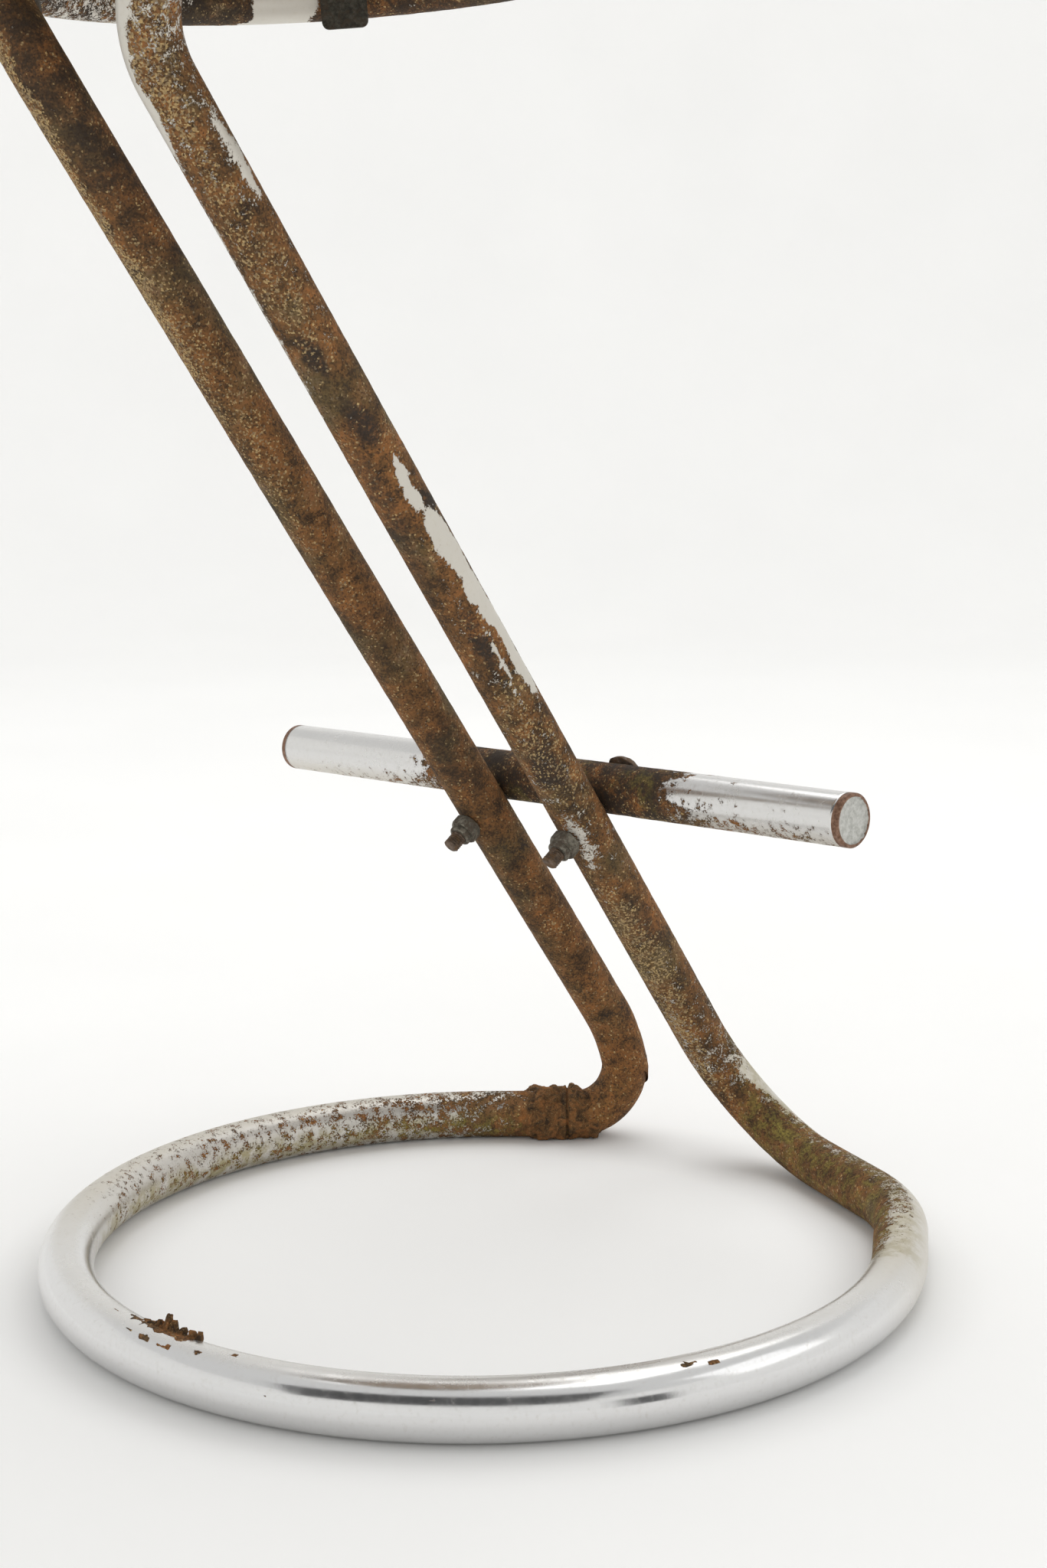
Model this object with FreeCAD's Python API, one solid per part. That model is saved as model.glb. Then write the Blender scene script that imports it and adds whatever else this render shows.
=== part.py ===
import FreeCAD, Part
import math
import os

# Z-shaped bar stool of bent round steel tube, with a ring base, twin leaning struts,
# a ring that carries the round seat, and a straight footrest bolted across the struts.
# Millimetres. +Z is up and -Y is the side where the sitter's legs go.
# The origin is on the floor, at the middle of the base ring.

V = FreeCAD.Vector

# ---- driving sizes -------------------------------------------------------------------

tube_d = 25.0               # outside diameter of the frame tube
tube_wall = 1.6

base_ring_r = 191.0         # centreline radius of the ring on the floor
strut_mid_x = 53.0          # the strut pair stands to one side of the ring's middle
strut_spacing = 70.0        # between the two strut centrelines, at the footrest
strut_foot_y = -218.6       # where a strut's line meets the base ring's plane
strut_lean = 36.0           # degrees that the struts lean back from upright
strut_splay = 0.5           # degrees that each strut leans out to its own side

right_bend_x = -121.0       # corner where the right foot turns into the base ring
right_bend_y = -160.0
right_bend_r = 100.0
right_foot_r = 58.0         # bend between the right strut and the floor
left_knee_z = 56.0          # the left strut turns upright this far above the floor
left_knee_r = 67.0
left_foot_step_x = 7.0      # the left foot lands this much nearer to the right strut
left_foot_step_y = 2.0
left_foot_r = 28.0

seat_ring_r = 150.0         # centreline radius of the ring under the seat
seat_ring_z = 592.8         # middle of the seat ring above the floor
seat_tilt = 5.4             # degrees that the seat's front edge stands up
seat_neck_run = 10.9        # the struts meet the seat ring's plane this far behind the ring
seat_bend_r = 55.0          # bend between a strut and the seat ring

sleeve_length = 70.0        # inner sleeve at each butt joint of the frame
sleeve_wall = 2.0
sleeve_clearance = 0.1
weld_bead_r = 2.2           # section radius of the bead round a butt joint
weld_clear_angle = 2.0      # degrees kept clear between a bead and what the tube rests on
foot_joint_run = 3.0        # straight tube between the left foot's bend and its joint
seat_joint_angle = 35.0     # the seat ring's joint lies this far past its right neck

footrest_d = 25.0
footrest_wall = 1.5
footrest_length = 386.0
footrest_height = 209.0     # footrest's centre above the floor
footrest_shift = 13.4       # the footrest's middle lies this far left of the strut pair
footrest_gap = 0.05         # between the footrest and the struts
cap_rim = 3.4               # length of an end cap outside the footrest tube
cap_rim_width = 2.2
cap_rim_round = 0.7         # the rim's rounded edges take up this much each side
cap_recess = 1.0
cap_skirt = 12.0            # length of an end cap inside the footrest tube
cap_clearance = 0.1
cap_wall = 1.2

bolt_d = 8.0
bolt_hole_d = 8.6
bolt_head_d = 19.0
bolt_head_height = 6.2
bolt_tip_chamfer = 1.0
bolt_stub = 7.5             # thread that stands out past the lock nut
nut_across_flats = 13.0
nut_hex_height = 6.2
nut_bevel = 0.8             # height of the bevel at the hexagon's corners
nut_face_rim = 0.26         # the bevelled face is this much wider than the flats, each side
nut_collar_d = 11.6
nut_collar_height = 3.0
nut_collar_edge_r = 0.9
nut_insert_wall = 0.9
nut_insert_depth = 2.1      # height of the insert's groove
nut_insert_height = 1.8
nut_gap = 0.05

lug_neck_run = 24.3         # along the seat ring, from a strut's bend to the middle of a rear lug
lug_width = 23.0
lug_thickness = 3.0
lug_drop = 6.0              # the lug hangs this far below the seat ring
lug_corner_r = 3.5
lug_foot = 24.0             # length of the foot under the seat board
lug_screw_inset = 9.1       # from the screw to the inner end of the lug's foot

screw_d = 4.2
screw_head_d = 8.4
screw_head_height = 2.6
screw_tip_d = 0.8
screw_bite = 9.0            # depth that a screw goes into the seat board
screw_clearance = 0.15

board_overhang = 18.0       # the seat board reaches this far past the seat ring
board_thickness = 12.0
foam_thickness = 42.0
foam_overhang = 6.0         # the foam reaches this far past the board
foam_edge_r = 16.0
foam_crown = 5.0            # extra height at the middle of the foam
cover_thickness = 1.4
cover_hem = 10.0            # the cover's hem under the board
piping_d = 5.0

# ---- derived sizes -------------------------------------------------------------------

tube_r = tube_d / 2.0
footrest_r = footrest_d / 2.0
lean = math.radians(strut_lean)
splay = math.radians(strut_splay)
strut_normal = V(0, -math.cos(lean), math.sin(lean))    # out of the struts' upper side
sides = {"left": 1.0, "right": -1.0}


def strut_point(side, z):
    """Point on a strut's centreline at height z."""
    half = strut_spacing / 2.0 + (z - footrest_height) * math.tan(splay)
    return V(strut_mid_x + sides[side] * half, strut_foot_y + (z - tube_r) * math.tan(lean), z)


# the seat ring stands in front of where the struts' lines reach its plane
seat_neck_reach = seat_ring_r + seat_neck_run
seat_neck_z = seat_ring_z - seat_neck_reach * math.tan(math.radians(seat_tilt))
seat_ring_y = strut_point("left", seat_neck_z).y - seat_neck_reach
seat_frame = FreeCAD.Placement(
    V(strut_mid_x, seat_ring_y, seat_ring_z),
    FreeCAD.Rotation(V(1, 0, 0), -seat_tilt),
)
seat_up = seat_frame.Rotation.multVec(V(0, 0, 1))


# ---- bent tube -----------------------------------------------------------------------

def straight_bar(start, end, radius):
    axis = end - start
    return Part.makeCylinder(radius, axis.Length, start, axis)


class Route:
    """A centreline of straight runs and arcs, each tangent to the one before."""

    def __init__(self):
        self.runs = []

    def line(self, start, end):
        """Straight run: kept as a circle to sweep, and how far it goes."""
        run = end - start
        if run.Length > 0.01:
            self.runs.append((start, run, lambda circle: circle.extrude(run), end, run))

    def arc(self, start, heading, centre, axis, degrees):
        """Bend that starts at start, going along heading, and turns about axis."""
        turn = FreeCAD.Rotation(axis, degrees)
        end = centre + turn.multVec(start - centre)
        self.runs.append((
            start, heading, lambda circle: circle.revolve(centre, axis, degrees),
            end, turn.multVec(heading),
        ))

    def corners(self, points, radii):
        """Straight runs through points, with each inner corner rounded by its radius."""
        here = points[0]
        for before, corner, after, radius in zip(points, points[1:], points[2:], radii):
            into = (corner - before).normalize()
            out = (after - corner).normalize()
            turn = into.getAngle(out)
            trim = radius * math.tan(turn / 2.0)
            start = corner - into * trim
            axis = into.cross(out).normalize()
            self.line(here, start)
            self.arc(start, into, start + axis.cross(into) * radius, axis, math.degrees(turn))
            here = corner + out * trim
        self.line(here, points[-1])

    def tube(self, outer_r, wall):
        """Closed shell of the tube's outer and inner walls and its two square-cut ends."""
        radii = (outer_r, outer_r - wall)
        faces = []
        for start, heading, sweep, end, end_heading in self.runs:
            faces.extend(sweep(Part.makeCircle(radius, start, heading)) for radius in radii)
        first, last = self.runs[0], self.runs[-1]
        for point, heading in ((first[0], first[1]), (last[3], last[4])):
            rims = [Part.Wire(Part.makeCircle(radius, point, heading)) for radius in radii]
            faces.append(Part.Face(rims))
        shell = Part.makeShell(faces)
        shell.sewShape()
        tube = Part.Solid(shell.Shells[0])
        tube.fix(0.001, 0.001, 0.001)
        return tube if tube.Volume > 0 else tube.reversed()


def tangent_angle(x, y, radius, turn):
    """Angle on a circle about 0,0 where a line from x,y touches it, on the turn side."""
    return math.atan2(y, x) + turn * math.acos(radius / math.hypot(x, y))


# ---- frame: routes -------------------------------------------------------------------

def ring_point(radius, angle):
    return V(radius * math.cos(angle), radius * math.sin(angle), 0)


floor_frame = FreeCAD.Placement(V(0, 0, tube_r), FreeCAD.Rotation())
right_foot_corner = strut_point("right", tube_r)
right_ring_corner = V(right_bend_x, right_bend_y, tube_r)
right_ring_angle = tangent_angle(right_bend_x, right_bend_y, base_ring_r, -1)
left_knee = strut_point("left", left_knee_z)
left_foot_corner = V(left_knee.x - left_foot_step_x, left_knee.y - left_foot_step_y, tube_r)
left_ring_angle = tangent_angle(left_foot_corner.x, left_foot_corner.y, base_ring_r, 1)


def seat_plane_corner(side):
    """Where a strut's line meets the seat ring's plane."""
    foot = strut_point(side, tube_r)
    along = strut_point(side, seat_ring_z) - foot
    return foot + along * ((seat_frame.Base - foot).dot(seat_up) / along.dot(seat_up))


def seat_neck_angle(side):
    corner = seat_frame.inverse().multVec(seat_plane_corner(side))
    return tangent_angle(corner.x, corner.y, seat_ring_r, -sides[side])


def ring_arc(route, frame, radius, first, last):
    """Arc of a flat ring in a frame, from one angle to another."""
    turn = last - first
    axis = frame.Rotation.multVec(V(0, 0, 1 if turn > 0 else -1))
    start = frame.multVec(ring_point(radius, first))
    heading = axis.cross(start - frame.Base).normalize()
    route.arc(start, heading, frame.Base, axis, abs(math.degrees(turn)))


def foot_joint():
    """Butt joint at the left foot: point and heading along the base ring."""
    ring_end = floor_frame.multVec(ring_point(base_ring_r, left_ring_angle))
    heading = (ring_end - left_foot_corner).normalize()
    turn = (left_foot_corner - left_knee).normalize().getAngle(heading)
    bend_end = left_foot_corner + heading * (left_foot_r * math.tan(turn / 2.0))
    return bend_end + heading * foot_joint_run, heading


seat_joint_at = seat_neck_angle("right") + math.radians(seat_joint_angle)


def lower_route():
    """Base ring from the left foot's joint, right foot, right strut, seat ring's neck."""
    route = Route()
    start, heading = foot_joint()
    route.line(start, floor_frame.multVec(ring_point(base_ring_r, left_ring_angle)))
    last = right_ring_angle + 2.0 * math.pi
    ring_arc(route, floor_frame, base_ring_r, left_ring_angle, last)
    ring_end = floor_frame.multVec(ring_point(base_ring_r, last))
    neck = seat_neck_angle("right")
    neck_end = seat_frame.multVec(ring_point(seat_ring_r, neck))
    route.corners(
        [ring_end, right_ring_corner, right_foot_corner, seat_plane_corner("right"), neck_end],
        [right_bend_r, right_foot_r, seat_bend_r],
    )
    ring_arc(route, seat_frame, seat_ring_r, neck, seat_joint_at)
    return route


def upper_route():
    """Seat ring from its joint, left neck, left strut, left foot down to its joint."""
    route = Route()
    neck = seat_neck_angle("left")
    ring_arc(route, seat_frame, seat_ring_r, seat_joint_at, neck + 2.0 * math.pi)
    neck_start = seat_frame.multVec(ring_point(seat_ring_r, neck))
    route.corners(
        [neck_start, seat_plane_corner("left"), left_knee, left_foot_corner, foot_joint()[0]],
        [seat_bend_r, left_knee_r, left_foot_r],
    )
    return route


# ---- footrest and its bolts ----------------------------------------------------------

footrest_offset = tube_r + footrest_r + footrest_gap
footrest_mid_x = strut_mid_x + footrest_shift


def bolt_foot(side):
    """Point on a strut's centreline behind the middle of the footrest."""
    return strut_point(side, footrest_height - footrest_offset * strut_normal.z)


def bolt_point(side, distance):
    """Point on a bolt's axis, at a distance out of the strut's upper side."""
    return bolt_foot(side) + strut_normal * distance


def bolt_bore(side):
    ends = (-tube_d, footrest_offset + footrest_d)
    return straight_bar(*[bolt_point(side, end) for end in ends], bolt_hole_d / 2.0)


def footrest_end(side):
    centre = bolt_point("left", footrest_offset)
    return V(footrest_mid_x + sides[side] * footrest_length / 2.0, centre.y, centre.z)


def footrest_tube():
    ends = [footrest_end("right"), footrest_end("left")]
    bar = straight_bar(ends[0], ends[1], footrest_r)
    bar = bar.cut(straight_bar(ends[0], ends[1], footrest_r - footrest_wall))
    return bar.cut([bolt_bore("left"), bolt_bore("right")])


def turned(profile):
    """Solid of revolution about the Z axis, from points given as (radius, height)."""
    points = [V(radius, 0, height) for radius, height in profile]
    outline = Part.makePolygon(points + points[:1])
    return Part.Face(outline).revolve(V(0, 0, 0), V(0, 0, 1), 360)


def stand_on(shape, point, direction):
    """Move a shape made about +Z so that it starts at point and follows direction."""
    shape.Placement = FreeCAD.Placement(point, FreeCAD.Rotation(V(0, 0, 1), direction))
    return shape


def footrest_cap(side):
    """Pressed cap: raised rim outside the tube, recessed disc, skirt inside the tube."""
    skirt_r = footrest_r - footrest_wall - cap_clearance
    disc_top = cap_rim - cap_recess
    cap = turned([
        (0, disc_top - cap_wall),
        (skirt_r - cap_wall, disc_top - cap_wall),
        (skirt_r - cap_wall, -cap_skirt),
        (skirt_r, -cap_skirt),
        (skirt_r, 0),
        (footrest_r, 0),
        (footrest_r, cap_rim - cap_rim_round),
        (footrest_r - cap_rim_round, cap_rim),
        (footrest_r - cap_rim_width + cap_rim_round, cap_rim),
        (footrest_r - cap_rim_width, disc_top),
        (0, disc_top),
    ])
    return stand_on(cap, footrest_end(side), V(sides[side], 0, 0))


head_seat = footrest_offset + footrest_r
nut_seat = -(tube_r + nut_gap)
nut_height = nut_hex_height + nut_collar_height


def bolt(side):
    """Round-headed bolt whose domed head lies on the footrest."""
    length = head_seat - nut_seat + nut_height + bolt_stub
    dome_r = (bolt_head_d ** 2 / 4.0 + bolt_head_height ** 2) / (2.0 * bolt_head_height)
    ball = Part.makeSphere(dome_r, V(0, 0, dome_r - bolt_head_height))
    stock = Part.makeCylinder(bolt_head_d / 2.0, bolt_head_height, V(0, 0, -bolt_head_height))
    head = ball.common(stock)
    shank = Part.makeCylinder(bolt_d / 2.0, length)
    tip = [edge for edge in shank.Edges if edge.CenterOfMass.z > length - 0.01]
    shank = shank.makeChamfer(bolt_tip_chamfer, tip)
    whole = head.fuse(shank).removeSplitter()
    return stand_on(whole, bolt_point(side, head_seat), strut_normal * -1)


def hexagon(across_flats, height):
    corners = []
    for step in range(6):
        angle = math.radians(60 * step)
        corners.append(ring_point(across_flats / math.sqrt(3), angle))
    return Part.Face(Part.makePolygon(corners + corners[:1])).extrude(V(0, 0, height))


nut_bore_r = bolt_d / 2.0 + nut_gap


def lock_nut(side):
    """Hexagon nut with a round collar that holds the locking insert."""
    body = hexagon(nut_across_flats, nut_hex_height)
    face_r = nut_across_flats / 2.0 + nut_face_rim
    corner_r = nut_across_flats / math.sqrt(3)
    bevel = turned([
        (0, 0),
        (face_r, 0),
        (corner_r, nut_bevel),
        (corner_r, nut_hex_height - nut_bevel),
        (face_r, nut_hex_height),
        (0, nut_hex_height),
    ])
    body = body.common(bevel)
    collar = Part.makeCylinder(nut_collar_d / 2.0, nut_collar_height, V(0, 0, nut_hex_height))
    top = [edge for edge in collar.Edges if edge.CenterOfMass.z > nut_height - 0.01]
    body = body.fuse(collar.makeFillet(nut_collar_edge_r, top)).removeSplitter()
    insert_r = nut_bore_r + nut_insert_wall
    insert_z = nut_hex_height - nut_gap
    body = body.cut(Part.makeCylinder(nut_bore_r, nut_height))
    body = body.cut(Part.makeCylinder(insert_r, nut_insert_depth, V(0, 0, insert_z)))
    return stand_on(body, bolt_point(side, nut_seat), strut_normal * -1)


def lock_nut_insert(side):
    """Nylon ring inside a lock nut's collar."""
    ring = Part.makeCylinder(nut_bore_r + nut_insert_wall - nut_gap, nut_insert_height)
    ring = ring.cut(Part.makeCylinder(nut_bore_r, nut_collar_height))
    place = bolt_point(side, nut_seat - nut_hex_height)
    return stand_on(ring, place, strut_normal * -1)


# ---- frame: solids -------------------------------------------------------------------

def frame_tube(route, side):
    return route.tube(tube_r, tube_wall).cut(bolt_bore(side)).Solids[0]


sleeve_r = tube_r - tube_wall - sleeve_clearance


def foot_sleeve():
    """Sleeve inside the base ring at the foot joint, on the straight run only."""
    joint, heading = foot_joint()
    ring_end = floor_frame.multVec(ring_point(base_ring_r, left_ring_angle))
    reach = min(sleeve_length / 2.0, (ring_end - joint).Length)
    route = Route()
    route.line(joint - heading * foot_joint_run, joint + heading * reach)
    return route.tube(sleeve_r, sleeve_wall)


def seat_sleeve():
    half = sleeve_length / 2.0 / seat_ring_r
    route = Route()
    ring_arc(route, seat_frame, seat_ring_r, seat_joint_at - half, seat_joint_at + half)
    return route.tube(sleeve_r, sleeve_wall)


def weld_bead(point, heading, flat_side):
    """Half-round bead on the tube round a butt joint, left out where the tube rests on something."""
    clear = math.degrees(math.acos(tube_r / (tube_r + weld_bead_r))) + weld_clear_angle
    radial = FreeCAD.Rotation(heading, clear).multVec(flat_side)
    foot = point + radial * tube_r
    toes = (foot - heading * weld_bead_r, foot + heading * weld_bead_r)
    crown = foot + radial * weld_bead_r
    section = Part.Wire([Part.makeLine(*toes), Part.Arc(toes[1], crown, toes[0]).toShape()])
    return Part.Face(section).revolve(point, heading, 360.0 - 2.0 * clear)


def foot_weld_bead():
    joint, heading = foot_joint()
    return weld_bead(joint, heading, V(0, 0, -1))


def seat_weld_bead():
    point = seat_frame.multVec(ring_point(seat_ring_r, seat_joint_at))
    heading = seat_up.cross(point - seat_frame.Base).normalize()
    return weld_bead(point, heading, seat_up)


# ---- seat ----------------------------------------------------------------------------

rear_lug = seat_neck_angle("left") - lug_neck_run / seat_ring_r
lug_angles = [-rear_lug, rear_lug, math.pi - rear_lug, math.pi + rear_lug]
board_seat = tube_r                         # the board lies on the seat ring
board_r = seat_ring_r + tube_r + board_overhang
board_top = board_seat + board_thickness
foam_r = board_r + foam_overhang


def in_seat(shape, angle=0.0):
    """Turn a shape made in the seat's own frame and put it in place."""
    turned_shape = shape.copy()
    turned_shape.rotate(V(0, 0, 0), V(0, 0, 1), math.degrees(angle))
    turned_shape.Placement = seat_frame.multiply(turned_shape.Placement)
    return turned_shape


# the flat plate's two upright edges touch the round inside of the ring
lug_face = math.sqrt((seat_ring_r - tube_r) ** 2 - lug_width ** 2 / 4.0)
lug_bottom = -tube_r - lug_drop
lug_top = board_seat
screw_at = lug_face - lug_foot + lug_screw_inset


def lug_shape():
    """Angle bracket: plate against the ring's inside, foot under the seat board."""
    inner = lug_face - lug_thickness
    plate = Part.makeBox(lug_thickness, lug_width, lug_top - lug_bottom,
                         V(inner, -lug_width / 2.0, lug_bottom))
    low = [edge for edge in plate.Edges
           if abs(abs(edge.CenterOfMass.y) - lug_width / 2.0) < 0.01
           and abs(edge.CenterOfMass.z - lug_bottom) < 0.01]
    plate = plate.makeFillet(lug_corner_r, low)
    foot = Part.makeBox(lug_foot, lug_width, lug_thickness,
                        V(lug_face - lug_foot, -lug_width / 2.0, lug_top - lug_thickness))
    lug = plate.fuse(foot).removeSplitter()
    hole = Part.makeCylinder(screw_d / 2.0 + screw_clearance, tube_d,
                             V(screw_at, 0, lug_top - tube_r))
    return lug.cut(hole)


def screw_shape():
    """Wood screw through a lug's foot into the seat board."""
    top = lug_top + screw_bite
    head_z = lug_top - lug_thickness
    head = Part.makeSphere(screw_head_d / 2.0, V(0, 0, 0))
    squash = FreeCAD.Matrix()
    squash.scale(1.0, 1.0, 2.0 * screw_head_height / screw_head_d)
    head = head.transformGeometry(squash)
    head = head.common(Part.makeBox(screw_head_d * 2, screw_head_d * 2, screw_head_d,
                                    V(-screw_head_d, -screw_head_d, -screw_head_d)))
    head.translate(V(screw_at, 0, head_z))
    shank = Part.makeCylinder(screw_d / 2.0, top - head_z - screw_d, V(screw_at, 0, head_z))
    tip = Part.makeCone(screw_d / 2.0, screw_tip_d / 2.0, screw_d, V(screw_at, 0, top - screw_d))
    return head.fuse([shank, tip]).removeSplitter()


def seat_board():
    board = Part.makeCylinder(board_r, board_thickness, V(0, 0, board_seat))
    pilot = Part.makeCylinder(screw_d / 2.0, screw_bite, V(screw_at, 0, board_seat))
    for angle in lug_angles:
        drill = pilot.copy()
        drill.rotate(V(0, 0, 0), V(0, 0, 1), math.degrees(angle))
        board = board.cut(drill)
    return in_seat(board)


def cushion_profile(grow):
    """Half section of the foam, grown outwards by a skin thickness."""
    side = foam_r + grow
    low = board_top
    high = board_top + foam_thickness + grow
    edge = foam_edge_r + grow
    corner = V(side - edge + edge * math.sqrt(0.5), 0, high - edge + edge * math.sqrt(0.5))
    flat_r = side - edge
    crown_r = (flat_r ** 2 + foam_crown ** 2) / (2.0 * foam_crown)
    crown_drop = crown_r - math.sqrt(crown_r ** 2 - flat_r ** 2 / 4.0)
    crown_mid = V(flat_r / 2.0, 0, high + foam_crown - crown_drop)
    points = [V(0, 0, low), V(side, 0, low), V(side, 0, high - edge), V(side - edge, 0, high),
              V(0, 0, high + foam_crown)]
    edges = [
        Part.LineSegment(points[0], points[1]).toShape(),
        Part.LineSegment(points[1], points[2]).toShape(),
        Part.Arc(points[2], corner, points[3]).toShape(),
        Part.Arc(points[3], crown_mid, points[4]).toShape(),
        Part.LineSegment(points[4], points[0]).toShape(),
    ]
    return Part.Face(Part.Wire(edges)).revolve(V(0, 0, 0), V(0, 0, 1), 360)


def seat_foam():
    return in_seat(cushion_profile(0))


def seat_cover():
    """Skin over the foam, down the board's edge and round under it as a hem."""
    outer = cushion_profile(cover_thickness)
    skirt_low = board_seat - cover_thickness
    skirt = Part.makeCylinder(foam_r + cover_thickness, board_top - skirt_low, V(0, 0, skirt_low))
    outer = outer.fuse(skirt)
    inside = Part.makeCylinder(board_r, board_thickness, V(0, 0, board_seat))
    filler = Part.makeCone(board_r, foam_r, board_thickness, V(0, 0, board_seat))
    opening = Part.makeCylinder(board_r - cover_hem, board_thickness, V(0, 0, skirt_low - 1.0))
    cover = outer.cut([cushion_profile(0), inside, filler, opening])
    return in_seat(cover.removeSplitter().Solids[0])


def seat_piping():
    """Round welt along the cushion's upper edge seam."""
    middle = board_top + foam_thickness - foam_edge_r
    reach = foam_r + cover_thickness + piping_d / 2.0
    return in_seat(Part.makeTorus(reach, piping_d / 2.0, V(0, 0, middle)))


# ---- write the parts -----------------------------------------------------------------

def copies(shape):
    """The same shape at each lug, as one group of separate solids."""
    return [in_seat(shape, angle) for angle in lug_angles]


def write(node, shapes):
    solids = []
    for shape in shapes:
        solids.extend(shape.Solids)
    target = solids[0] if len(solids) == 1 else Part.makeCompound(solids)
    target.exportStep("parts/" + node + ".step")


def main():
    os.makedirs("parts", exist_ok=True)
    write("lower_frame_tube", [frame_tube(lower_route(), "right")])
    write("upper_frame_tube", [frame_tube(upper_route(), "left")])
    write("foot_joint_sleeve", [foot_sleeve()])
    write("seat_joint_sleeve", [seat_sleeve()])
    write("foot_joint_weld", [foot_weld_bead()])
    write("seat_joint_weld", [seat_weld_bead()])
    write("footrest_tube", [footrest_tube()])
    for side in sides:
        write("footrest_cap_" + side, [footrest_cap(side)])
        write("footrest_bolt_" + side, [bolt(side)])
        write("lock_nut_" + side, [lock_nut(side)])
    write("lock_nut_inserts", [lock_nut_insert(side) for side in sides])
    for number, lug in enumerate(copies(lug_shape()), 1):
        write("seat_lug_%d" % number, [lug])
    write("seat_screws", copies(screw_shape()))
    write("seat_board", [seat_board()])
    write("seat_foam", [seat_foam()])
    write("seat_cover", [seat_cover()])
    write("seat_piping", [seat_piping()])


main()
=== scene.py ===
"""Looks for a weathered bar stool of bent tube: rusted and chromed frame, footrest, seat.

Metres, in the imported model's frame: +Z is up, -Y is the side where the sitter's legs go.
"""
import itertools
import math
from functools import partialmethod

import bmesh
import bpy
import numpy as np
from mathutils import Matrix, Vector


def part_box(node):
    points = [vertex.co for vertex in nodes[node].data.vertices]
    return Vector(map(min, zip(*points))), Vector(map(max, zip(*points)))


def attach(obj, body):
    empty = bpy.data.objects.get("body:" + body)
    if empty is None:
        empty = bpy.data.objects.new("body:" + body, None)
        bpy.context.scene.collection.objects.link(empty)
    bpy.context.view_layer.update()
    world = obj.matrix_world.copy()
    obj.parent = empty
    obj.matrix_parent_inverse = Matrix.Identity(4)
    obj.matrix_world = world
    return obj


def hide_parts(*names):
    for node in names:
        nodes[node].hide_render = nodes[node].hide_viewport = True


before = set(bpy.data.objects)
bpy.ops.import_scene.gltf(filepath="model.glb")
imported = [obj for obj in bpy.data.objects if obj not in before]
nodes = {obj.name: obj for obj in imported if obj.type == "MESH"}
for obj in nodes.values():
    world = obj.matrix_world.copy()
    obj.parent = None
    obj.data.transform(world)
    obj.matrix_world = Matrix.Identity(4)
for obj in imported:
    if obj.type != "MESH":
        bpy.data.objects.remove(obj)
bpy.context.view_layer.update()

# ---- sizes that the frame's tube was drawn with ---------------------------------------

TUBE_R = 0.0125
BASE_RING_R = 0.191
STRUT_MID_X = 0.053
STRUT_SPACING = 0.070
STRUT_FOOT_Y = -0.2186
STRUT_LEAN = math.radians(36.0)
STRUT_SPLAY = math.radians(0.5)
RIGHT_BEND = Vector((-0.121, -0.160, TUBE_R))
RIGHT_BEND_R = 0.100
RIGHT_FOOT_R = 0.058
LEFT_KNEE_Z = 0.056
LEFT_KNEE_R = 0.067
LEFT_FOOT_STEP = Vector((0.007, 0.002, 0.0))
LEFT_FOOT_R = 0.028
SEAT_RING_R = 0.150
SEAT_RING_Z = 0.5928
SEAT_TILT = math.radians(5.4)
SEAT_NECK_RUN = 0.0109
SEAT_BEND_R = 0.055
FOOT_JOINT_RUN = 0.003
SEAT_JOINT_ANGLE = math.radians(35.0)
SEAM_GAP = 0.0002           # between the two tubes at a butt joint

FOOTREST_R = 0.0125
FOOTREST_HEIGHT = 0.209
FOOTREST_GAP = 0.00005
BOLT_R = 0.004
BOLT_STUB = 0.0075
BOLT_HEAD_R = 0.0095
BOLT_HEAD_HEIGHT = 0.0062
THREAD_PITCH = 0.00125
THREAD_DEPTH = 0.00062
NUT_HEIGHT = 0.0092
NUT_GAP = 0.00005

BOARD_R = SEAT_RING_R + TUBE_R + 0.018
BOARD_LOW = TUBE_R
BOARD_HIGH = BOARD_LOW + 0.012
FOAM_R = BOARD_R + 0.006
FOAM_HIGH = BOARD_HIGH + 0.042
FOAM_EDGE_R = 0.016
FOAM_CROWN = 0.005
COVER = 0.0014
HEM = 0.010
PIPING_R = 0.0025

STRUT_UP = Vector((0, -math.cos(STRUT_LEAN), math.sin(STRUT_LEAN)))
SIDE = {"left": 1.0, "right": -1.0}


def strut_point(side, z):
    """Point on a strut's centreline at height z."""
    half = STRUT_SPACING / 2 + (z - FOOTREST_HEIGHT) * math.tan(STRUT_SPLAY)
    y = STRUT_FOOT_Y + (z - TUBE_R) * math.tan(STRUT_LEAN)
    return Vector((STRUT_MID_X + SIDE[side] * half, y, z))


SEAT_NECK_REACH = SEAT_RING_R + SEAT_NECK_RUN
SEAT_NECK_Z = SEAT_RING_Z - SEAT_NECK_REACH * math.tan(SEAT_TILT)
SEAT_MIDDLE = Vector((
    STRUT_MID_X, strut_point("left", SEAT_NECK_Z).y - SEAT_NECK_REACH, SEAT_RING_Z))
SEAT_FRAME = Matrix.Translation(SEAT_MIDDLE) @ Matrix.Rotation(-SEAT_TILT, 4, "X")
SEAT_UP = SEAT_FRAME.to_3x3() @ Vector((0, 0, 1))
FLOOR_FRAME = Matrix.Translation((0, 0, TUBE_R))


# ---- camera and light -----------------------------------------------------------------

CAMERA_AT = Vector((-0.7096, 0.6698, 0.3668))
CAMERA_HEADING = math.radians(-44.540)      # of the view along the floor, from +X
CAMERA_DOWN = math.radians(8.305)
CAMERA_ROLL = math.radians(-0.558)
CAMERA_LENS = 50.06
CAMERA_SENSOR = 36.0
LIT_POINT = Vector((0.05, 0.0, 0.25))
SKY_STRENGTH = 0.74

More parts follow.
